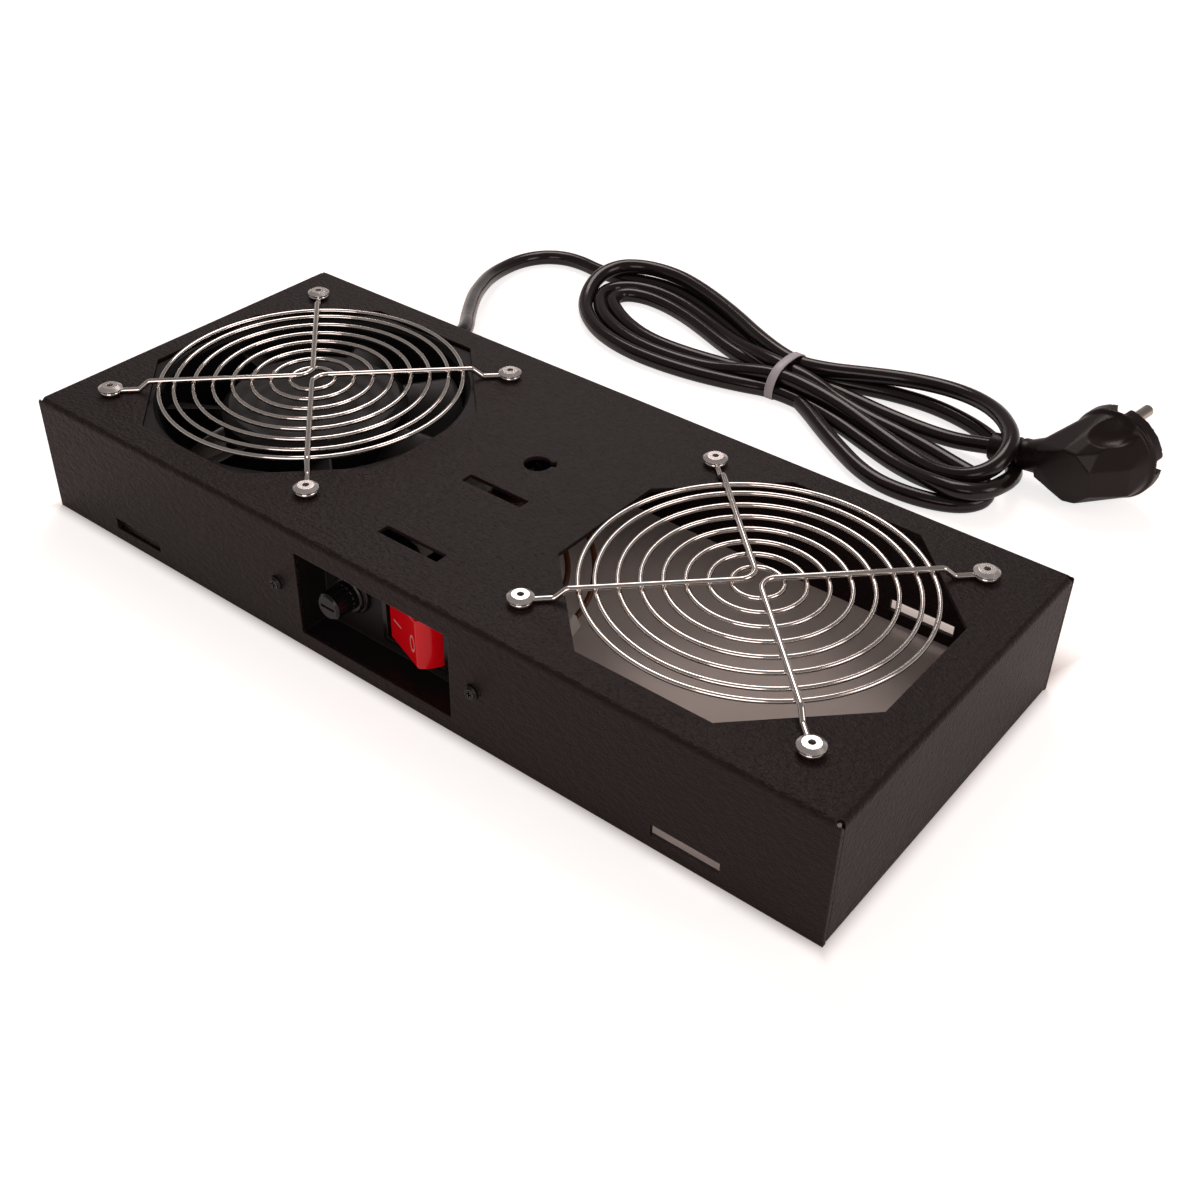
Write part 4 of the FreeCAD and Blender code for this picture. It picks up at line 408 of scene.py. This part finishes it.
flex_diameter = 0.007
flex_points = (
    # out of the wall, down to the floor, round and in under the left loops to the tie
    (-0.1180, 0.0655, 0.0250), (-0.1180, 0.0860, 0.0250), (-0.1180, 0.0980, 0.0246),
    (-0.1240, 0.1085, 0.0225), (-0.1340, 0.1200, 0.0190), (-0.1450, 0.1340, 0.0158),
    (-0.1570, 0.1500, 0.0120), (-0.1660, 0.1650, 0.0088), (-0.1730, 0.1780, 0.0060),
    (-0.1770, 0.1920, 0.0042), (-0.1770, 0.2060, 0.0036), (-0.1720, 0.2170, 0.0035),
    (-0.1630, 0.2235, 0.0035), (-0.1520, 0.2248, 0.0035), (-0.1410, 0.2230, 0.0035),
    (-0.1300, 0.2228, 0.0035), (-0.1170, 0.2274, 0.0035), (-0.1040, 0.2302, 0.0035),
    (-0.0900, 0.2290, 0.0035), (-0.0760, 0.2244, 0.0035), (-0.0600, 0.2174, 0.0035),
    (-0.0440, 0.2098, 0.0035), (-0.0300, 0.2034, 0.0035), (-0.0180, 0.2005, 0.0035),
    # the middle right loop, back through the tie, and the outer left loop
    (-0.0070, 0.1995, 0.0035), (0.0080, 0.2020, 0.0035), (0.0220, 0.2065, 0.0035),
    (0.0380, 0.2105, 0.0035), (0.0540, 0.2120, 0.0035), (0.0700, 0.2095, 0.0035),
    (0.0840, 0.2045, 0.0035), (0.0970, 0.1960, 0.0035), (0.1046, 0.1865, 0.0035),
    (0.1083, 0.1750, 0.0072), (0.1092, 0.1630, 0.0104), (0.1065, 0.1530, 0.0106),
    (0.0980, 0.1475, 0.0106), (0.0880, 0.1490, 0.0090), (0.0760, 0.1535, 0.0060),
    (0.0620, 0.1595, 0.0038), (0.0460, 0.1660, 0.0035), (0.0300, 0.1720, 0.0035),
    (0.0120, 0.1770, 0.0035), (-0.0070, 0.1785, 0.0035), (-0.0220, 0.1730, 0.0035),
    (-0.0400, 0.1685, 0.0035), (-0.0580, 0.1660, 0.0035), (-0.0780, 0.1660, 0.0035),
    (-0.0960, 0.1705, 0.0035), (-0.1100, 0.1780, 0.0035), (-0.1215, 0.1885, 0.0037),
    (-0.1280, 0.2000, 0.0058), (-0.1300, 0.2115, 0.0088), (-0.1265, 0.2220, 0.0104),
    (-0.1190, 0.2285, 0.0105), (-0.1090, 0.2315, 0.0105), (-0.0965, 0.2317, 0.0105),
    (-0.0825, 0.2280, 0.0105), (-0.0680, 0.2224, 0.0105), (-0.0515, 0.2148, 0.0104),
    (-0.0350, 0.2060, 0.0102), (-0.0200, 0.1995, 0.0099),
    # the top right loop, over the plug's sleeve, and the middle left loop
    (-0.0070, 0.1960, 0.0096), (0.0080, 0.1995, 0.0098), (0.0240, 0.2070, 0.0103),
    (0.0400, 0.2130, 0.0110), (0.0550, 0.2150, 0.0122), (0.0690, 0.2125, 0.0140),
    (0.0820, 0.2055, 0.0165), (0.0930, 0.1955, 0.0186), (0.1015, 0.1840, 0.0195),
    (0.1050, 0.1730, 0.0185), (0.1040, 0.1630, 0.0152), (0.0970, 0.1570, 0.0118),
    (0.0860, 0.1575, 0.0088), (0.0740, 0.1625, 0.0065), (0.0600, 0.1685, 0.0056),
    (0.0440, 0.1735, 0.0065), (0.0280, 0.1775, 0.0083), (0.0100, 0.1805, 0.0096),
    (-0.0070, 0.1820, 0.0096), (-0.0220, 0.1790, 0.0075), (-0.0380, 0.1758, 0.0040),
    (-0.0570, 0.1732, 0.0035), (-0.0760, 0.1732, 0.0035), (-0.0930, 0.1780, 0.0035),
    (-0.1075, 0.1855, 0.0035), (-0.1170, 0.1945, 0.0035), (-0.1234, 0.2043, 0.0035),
    (-0.1218, 0.2142, 0.0035), (-0.1130, 0.2208, 0.0035), (-0.1010, 0.2228, 0.0035),
    (-0.0860, 0.2206, 0.0035), (-0.0710, 0.2152, 0.0035), (-0.0540, 0.2076, 0.0038),
    (-0.0380, 0.1990, 0.0060), (-0.0220, 0.1924, 0.0090),
    # the low right loop
    (-0.0070, 0.1890, 0.0098), (0.0080, 0.1885, 0.0080), (0.0220, 0.1865, 0.0045),
    (0.0380, 0.1840, 0.0035), (0.0540, 0.1820, 0.0035), (0.0700, 0.1785, 0.0035),
    (0.0840, 0.1745, 0.0035), (0.0950, 0.1720, 0.0035), (0.1025, 0.1670, 0.0035),
    (0.1050, 0.1585, 0.0035), (0.1010, 0.1505, 0.0035), (0.0915, 0.1450, 0.0035),
    (0.0790, 0.1423, 0.0035), (0.0660, 0.1427, 0.0035), (0.0540, 0.1470, 0.0035),
    (0.0420, 0.1540, 0.0035), (0.0280, 0.1630, 0.0035), (0.0120, 0.1745, 0.0035),
    # and the inner left loop
    (-0.0070, 0.1855, 0.0035), (-0.0220, 0.1855, 0.0035), (-0.0400, 0.1825, 0.0035),
    (-0.0580, 0.1803, 0.0035), (-0.0760, 0.1805, 0.0035), (-0.0920, 0.1855, 0.0035),
    (-0.1055, 0.1930, 0.0035), (-0.1160, 0.2018, 0.0035), (-0.1148, 0.2110, 0.0035),
    (-0.1050, 0.2152, 0.0035), (-0.0920, 0.2146, 0.0035), (-0.0780, 0.2112, 0.0035),
    (-0.0630, 0.2054, 0.0035), (-0.0480, 0.1988, 0.0035), (-0.0330, 0.1940, 0.0035),
    (-0.0200, 0.1925, 0.0035),
    # last through the tie and out to the plug
    (-0.0070, 0.1925, 0.0035), (0.0100, 0.1955, 0.0035), (0.0260, 0.1935, 0.0035),
    (0.0420, 0.1915, 0.0035), (0.0560, 0.1908, 0.0035), (0.0680, 0.1904, 0.0039),
    (0.0780, 0.1900, 0.0052), (0.0870, 0.1898, 0.0074), (0.0990, 0.1890, 0.0106),
)


def soft_line(name, points, diameter, finish):
    """A flexible lead: one smooth line that follows its points, with a round section."""
    curve = bpy.data.curves.new(name, "CURVE")
    curve.dimensions = "3D"
    spline = curve.splines.new("NURBS")
    spline.points.add(len(points) - 1)
    for point, place in zip(spline.points, points):
        point.co = (*place, 1)
    spline.order_u = 3
    spline.use_endpoint_u = True
    spline.resolution_u = 10
    curve.bevel_depth = diameter / 2
    curve.bevel_resolution = 6
    curve.use_fill_caps = True
    curve.materials.append(finish.material)
    lead = bpy.data.objects.new(name, curve)
    bpy.context.scene.collection.objects.link(lead)
    return lead


flex = Finish("glossy black flex", specular_ior_level=0.45)
handled = flex.grain(0.02, 3.0)
flex.give(
    base_color=flex.blend(handled, tint(25, 16, 16), tint(32, 22, 22)), roughness=0.14 + handled * 0.08)
flex.relief(flex.grain(0.008), 0.00008)
mains_lead = soft_line("mains_lead", flex_points, flex_diameter, flex)
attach(mains_lead, "tray_body")
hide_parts("mains_cord", "cord_hank")

strap = Finish("grey nylon strap")
ribbing = strap.grain(0.0008, 2.0)
strap.give(
    base_color=strap.blend(ribbing, tint(206, 202, 206), tint(188, 184, 190)),
    roughness=0.38 + ribbing * 0.1)
strap.relief(ribbing, 0.00005, soften=0.0003)


def band(name, path, width, thickness, finish):
    """A closed flat strap: path is its line in the Y-Z plane, width runs along X."""
    curve = bpy.data.curves.new(name, "CURVE")
    curve.dimensions = "3D"
    spline = curve.splines.new("NURBS")
    spline.points.add(len(path) - 1)
    for point, (y, z) in zip(spline.points, path):
        point.co = (0, y, z, 1)
    spline.order_u = 4
    spline.use_cyclic_u = True
    spline.resolution_u = 8
    line = bpy.data.objects.new("middle of " + name, curve)
    outline = [v.co.copy() for v in line.to_mesh().vertices]
    shape = bmesh.new()
    edge, corner = width / 2, thickness * 0.35
    section = [
        (-edge, corner), (-edge + corner, 0), (edge - corner, 0), (edge, corner), (edge, thickness - corner),
        (edge - corner, thickness), (-edge + corner, thickness), (-edge, thickness - corner)]
    rows = []
    for i, place in enumerate(outline):
        line_on = (outline[(i + 1) % len(outline)] - outline[i - 1]).normalized()
        out = Vector((0, line_on.z, -line_on.y))
        rows.append([shape.verts.new(place + Vector((x, 0, 0)) + out * h) for x, h in section])
    for i, row in enumerate(rows):
        for j in range(len(section)):
            shape.faces.new((rows[i - 1][j], rows[i - 1][j - 1], row[j - 1], row[j]))
    bmesh.ops.recalc_face_normals(shape, faces=shape.faces)
    mesh = bpy.data.meshes.new(name)
    shape.to_mesh(mesh)
    mesh.shade_smooth()
    mesh.materials.append(finish.material)
    strap_piece = bpy.data.objects.new(name, mesh)
    bpy.context.scene.collection.objects.link(strap_piece)
    return strap_piece


tie_path = (
    (0.1890, 0.0003), (0.1780, 0.0001), (0.1742, 0.0005), (0.1732, 0.0035), (0.1740, 0.0078),
    (0.1770, 0.0122), (0.1818, 0.0148), (0.1890, 0.0153), (0.1962, 0.0150), (0.2008, 0.0124),
    (0.2034, 0.0078), (0.2044, 0.0035), (0.2034, 0.0005), (0.1995, 0.0001))
tie = band("cord_tie_strap", tie_path, 0.0042, 0.0008, strap)
tie.location.x = -0.007
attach(tie, "tray_body")
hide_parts("cord_tie")


# ---- The plug: one soft PVC moulding round the two pins, with a notched round collar, a faceted
# grip that turns the lead off to the side, thumb hollows and a ribbed sleeve on the lead. It is
# drawn in millimetres about the middle of its face, with the pins along +Y.

plug_pvc = Finish("moulded plug", specular_ior_level=0.3)
satin = plug_pvc.grain(0.0007, 3.0)
plug_pvc.give(
    base_color=plug_pvc.blend(satin, tint(26, 14, 14), tint(31, 19, 19)), roughness=0.3 + satin * 0.12)
plug_pvc.relief(satin, 0.00005)
plug_turn = (
    Matrix.Rotation(math.radians(-10), 4, "Z") @ Matrix.Rotation(math.radians(4), 4, "X") @
    Matrix.Rotation(math.radians(-6), 4, "Y"))
plug_place = Matrix.Translation((0.1387, 0.2028, 0.0199)) @ plug_turn @ Matrix.Scale(0.001, 4)
collar_radius, collar_back, collar_floor = 19.1, -5.8, -4.6
sleeve_root, sleeve_knee = Vector((-21, -19, -2.5)), Vector((-27.5, -20, -3.8))
sleeve_tip = Vector((-44, -22, -4.8))
root_radius, knee_radius = 7.7, 6.5
insertion = Vector((0, 1, 0))


def circle(middle, axis, radius, count=40):
    """Points round an axis."""
    turn = axis.to_track_quat("Z", "Y")
    return [
        middle + turn @ Vector((radius * math.cos(a), radius * math.sin(a), 0))
        for a in (2 * math.pi * i / count for i in range(count))]


def wrapped(shape, points):
    """Adds the skin stretched over some points."""
    corners = [shape.verts.new(point) for point in points]
    skin = bmesh.ops.convex_hull(shape, input=corners)
    spare = {v for v in skin["geom_interior"] + skin["geom_unused"] if isinstance(v, bmesh.types.BMVert)}
    bmesh.ops.delete(shape, geom=list(spare), context="VERTS")


grip_corners = (
    (-22, -25.3, 2.5), (-9, -26, 8.0), (-3.5, -26, 7.6), (3.3, -26, 1.8), (13.4, -14, 1.6),
    (-1.7, -20.5, 9.2), (3.4, -21, 8.6), (15.6, -6, 6.2), (9, -6, 15.5),
    (-22, -25.3, -9.3), (-8, -26, -14.8), (-2.5, -26, -14.0), (3.8, -26, -8.6), (13.6, -14, -10.0),
    (-6, -20, -17.0), (10.4, -9, -14.2))
plug_shape = bmesh.new()
wrapped(plug_shape, [
    *(Vector(corner) for corner in grip_corners),
    *circle(insertion * (collar_back + 1), insertion, collar_radius - 1.0),
    *circle(sleeve_root, sleeve_knee - sleeve_root, root_radius)])
wrapped(plug_shape, [
    *circle(insertion * collar_back, insertion, collar_radius - 0.6, 72),
    *circle(insertion * (collar_back + 0.8), insertion, collar_radius, 72),
    *circle(insertion * collar_floor, insertion, collar_radius, 72)])

notch_half, notch_depth = 2.7, 3.2
notch_floor = collar_radius - notch_depth
start, end = math.asin(notch_half / collar_radius), math.pi / 2 - math.asin(notch_half / collar_radius)
arc = [start + (end - start) * i / 14 for i in range(15)]
rim_quarter = [
    (notch_floor, notch_half),
    *((collar_radius * math.cos(a), collar_radius * math.sin(a)) for a in arc),
    (notch_half, notch_floor)]
rim = [
    Matrix.Rotation(quarter * math.pi / 2, 2) @ Vector(place)
    for quarter in range(4) for place in rim_quarter]
prongs = [[plug_shape.verts.new((x, y, z)) for x, z in rim] for y in (collar_floor - 0.5, 0)]
plug_shape.faces.new(prongs[0])
plug_shape.faces.new(reversed(prongs[1]))
for i in range(len(rim)):
    plug_shape.faces.new((prongs[0][i - 1], prongs[0][i], prongs[1][i], prongs[1][i - 1])[::-1])

sleeve_axis = sleeve_tip - sleeve_knee
wrapped(plug_shape, [
    *circle(sleeve_root, sleeve_knee - sleeve_root, root_radius),
    *circle(sleeve_knee, sleeve_axis, knee_radius)])
sleeve_ribs = (
    (-0.06, 0.2, 6.5, 6.4), (0.15, 0.5, 5.2, 5.2), (0.3, 0.36, 6.3, 6.3), (0.44, 0.5, 6.2, 6.2),
    (0.58, 1.0, 6.1, 5.9), (0.45, 0.7, 5.2, 5.2))
for start, end, first_radius, last_radius in sleeve_ribs:
    wrapped(plug_shape, [
        *circle(sleeve_knee + sleeve_axis * start, sleeve_axis, first_radius),
        *circle(sleeve_knee + sleeve_axis * end, sleeve_axis, last_radius)])
bmesh.ops.recalc_face_normals(plug_shape, faces=plug_shape.faces)

plug_mesh = bpy.data.meshes.new("plug")
plug_shape.to_mesh(plug_mesh)
plug = bpy.data.objects.new("plug", plug_mesh)
bpy.context.scene.collection.objects.link(plug)
cast_skin = plug.modifiers.new("one skin", "REMESH")
cast_skin.mode = "VOXEL"
cast_skin.voxel_size = 0.45
softened = plug.modifiers.new("soft corners", "SMOOTH")
softened.factor, softened.iterations = 0.5, 3
plug.data = bpy.data.meshes.new_from_object(plug.evaluated_get(bpy.context.evaluated_depsgraph_get()))
plug.modifiers.clear()

grip_middle = -3.4
hollow_middle, hollow_line = Vector((3.5, -12.5, 18.2)), Vector((0.67, 0.74, -0.05)).normalized()
hollow_reach, hollow_breadth, hollow_depth = 11.0, 7.0, 3.2
for vertex in plug.data.vertices:
    for side in (-1, 1):
        away = Vector((vertex.co.x, vertex.co.y, side * (vertex.co.z - grip_middle))) - hollow_middle
        lengthwise = away.dot(hollow_line)
        aside = away - hollow_line * lengthwise
        share = (lengthwise / hollow_reach) ** 2 + aside.length_squared / hollow_breadth ** 2
        behind_collar = min(max(collar_back - vertex.co.y, 0), 1)
        if share < 1:
            vertex.co.z -= side * behind_collar * hollow_depth * (1 - share) ** 1.3
plug.data.transform(plug_place)
plug.data.shade_smooth()
plug.data.materials.append(plug_pvc.material)
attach(plug, "tray_body")
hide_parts("plug_body")


# ---- Earth point and wiring: cores of the lead run along the rear wall to the stud, the fuse and
# the switch, and two caps join the fan's wires and a spare pair for the empty bay.

def wire_finish(name, dark, light):
    """PVC insulation of one colour."""
    finish = Finish(name)
    scuffs = finish.grain(0.004, 3.0)
    finish.give(base_color=finish.blend(scuffs, dark, light), roughness=0.3 + scuffs * 0.12)
    finish.relief(finish.grain(0.0008), 0.00003)
    return finish


dress(wire_finish("brown insulation", tint(92, 52, 28), tint(112, 66, 38)), "brown_leads", "spare_leads")
dress(wire_finish("blue insulation", tint(26, 60, 128), tint(36, 74, 146)), "blue_leads")
dress(wire_finish("black insulation", tint(28, 27, 27), tint(38, 36, 36)), "fan_leads")

striped = Finish("green and yellow insulation")
facing = striped.add("SeparateXYZ", sockets={"Vector": striped.add("NewGeometry", out="Normal")}, out="Z")
stripe = abs(facing).between(0.5, 0.56)
smudge = striped.grain(0.004, 3.0)
striped.give(
    base_color=striped.blend(stripe, tint(214, 190, 40), tint(34, 112, 50)), roughness=0.3 + smudge * 0.12)
striped.relief(striped.grain(0.0008), 0.00003)
dress(striped, "earth_lead")
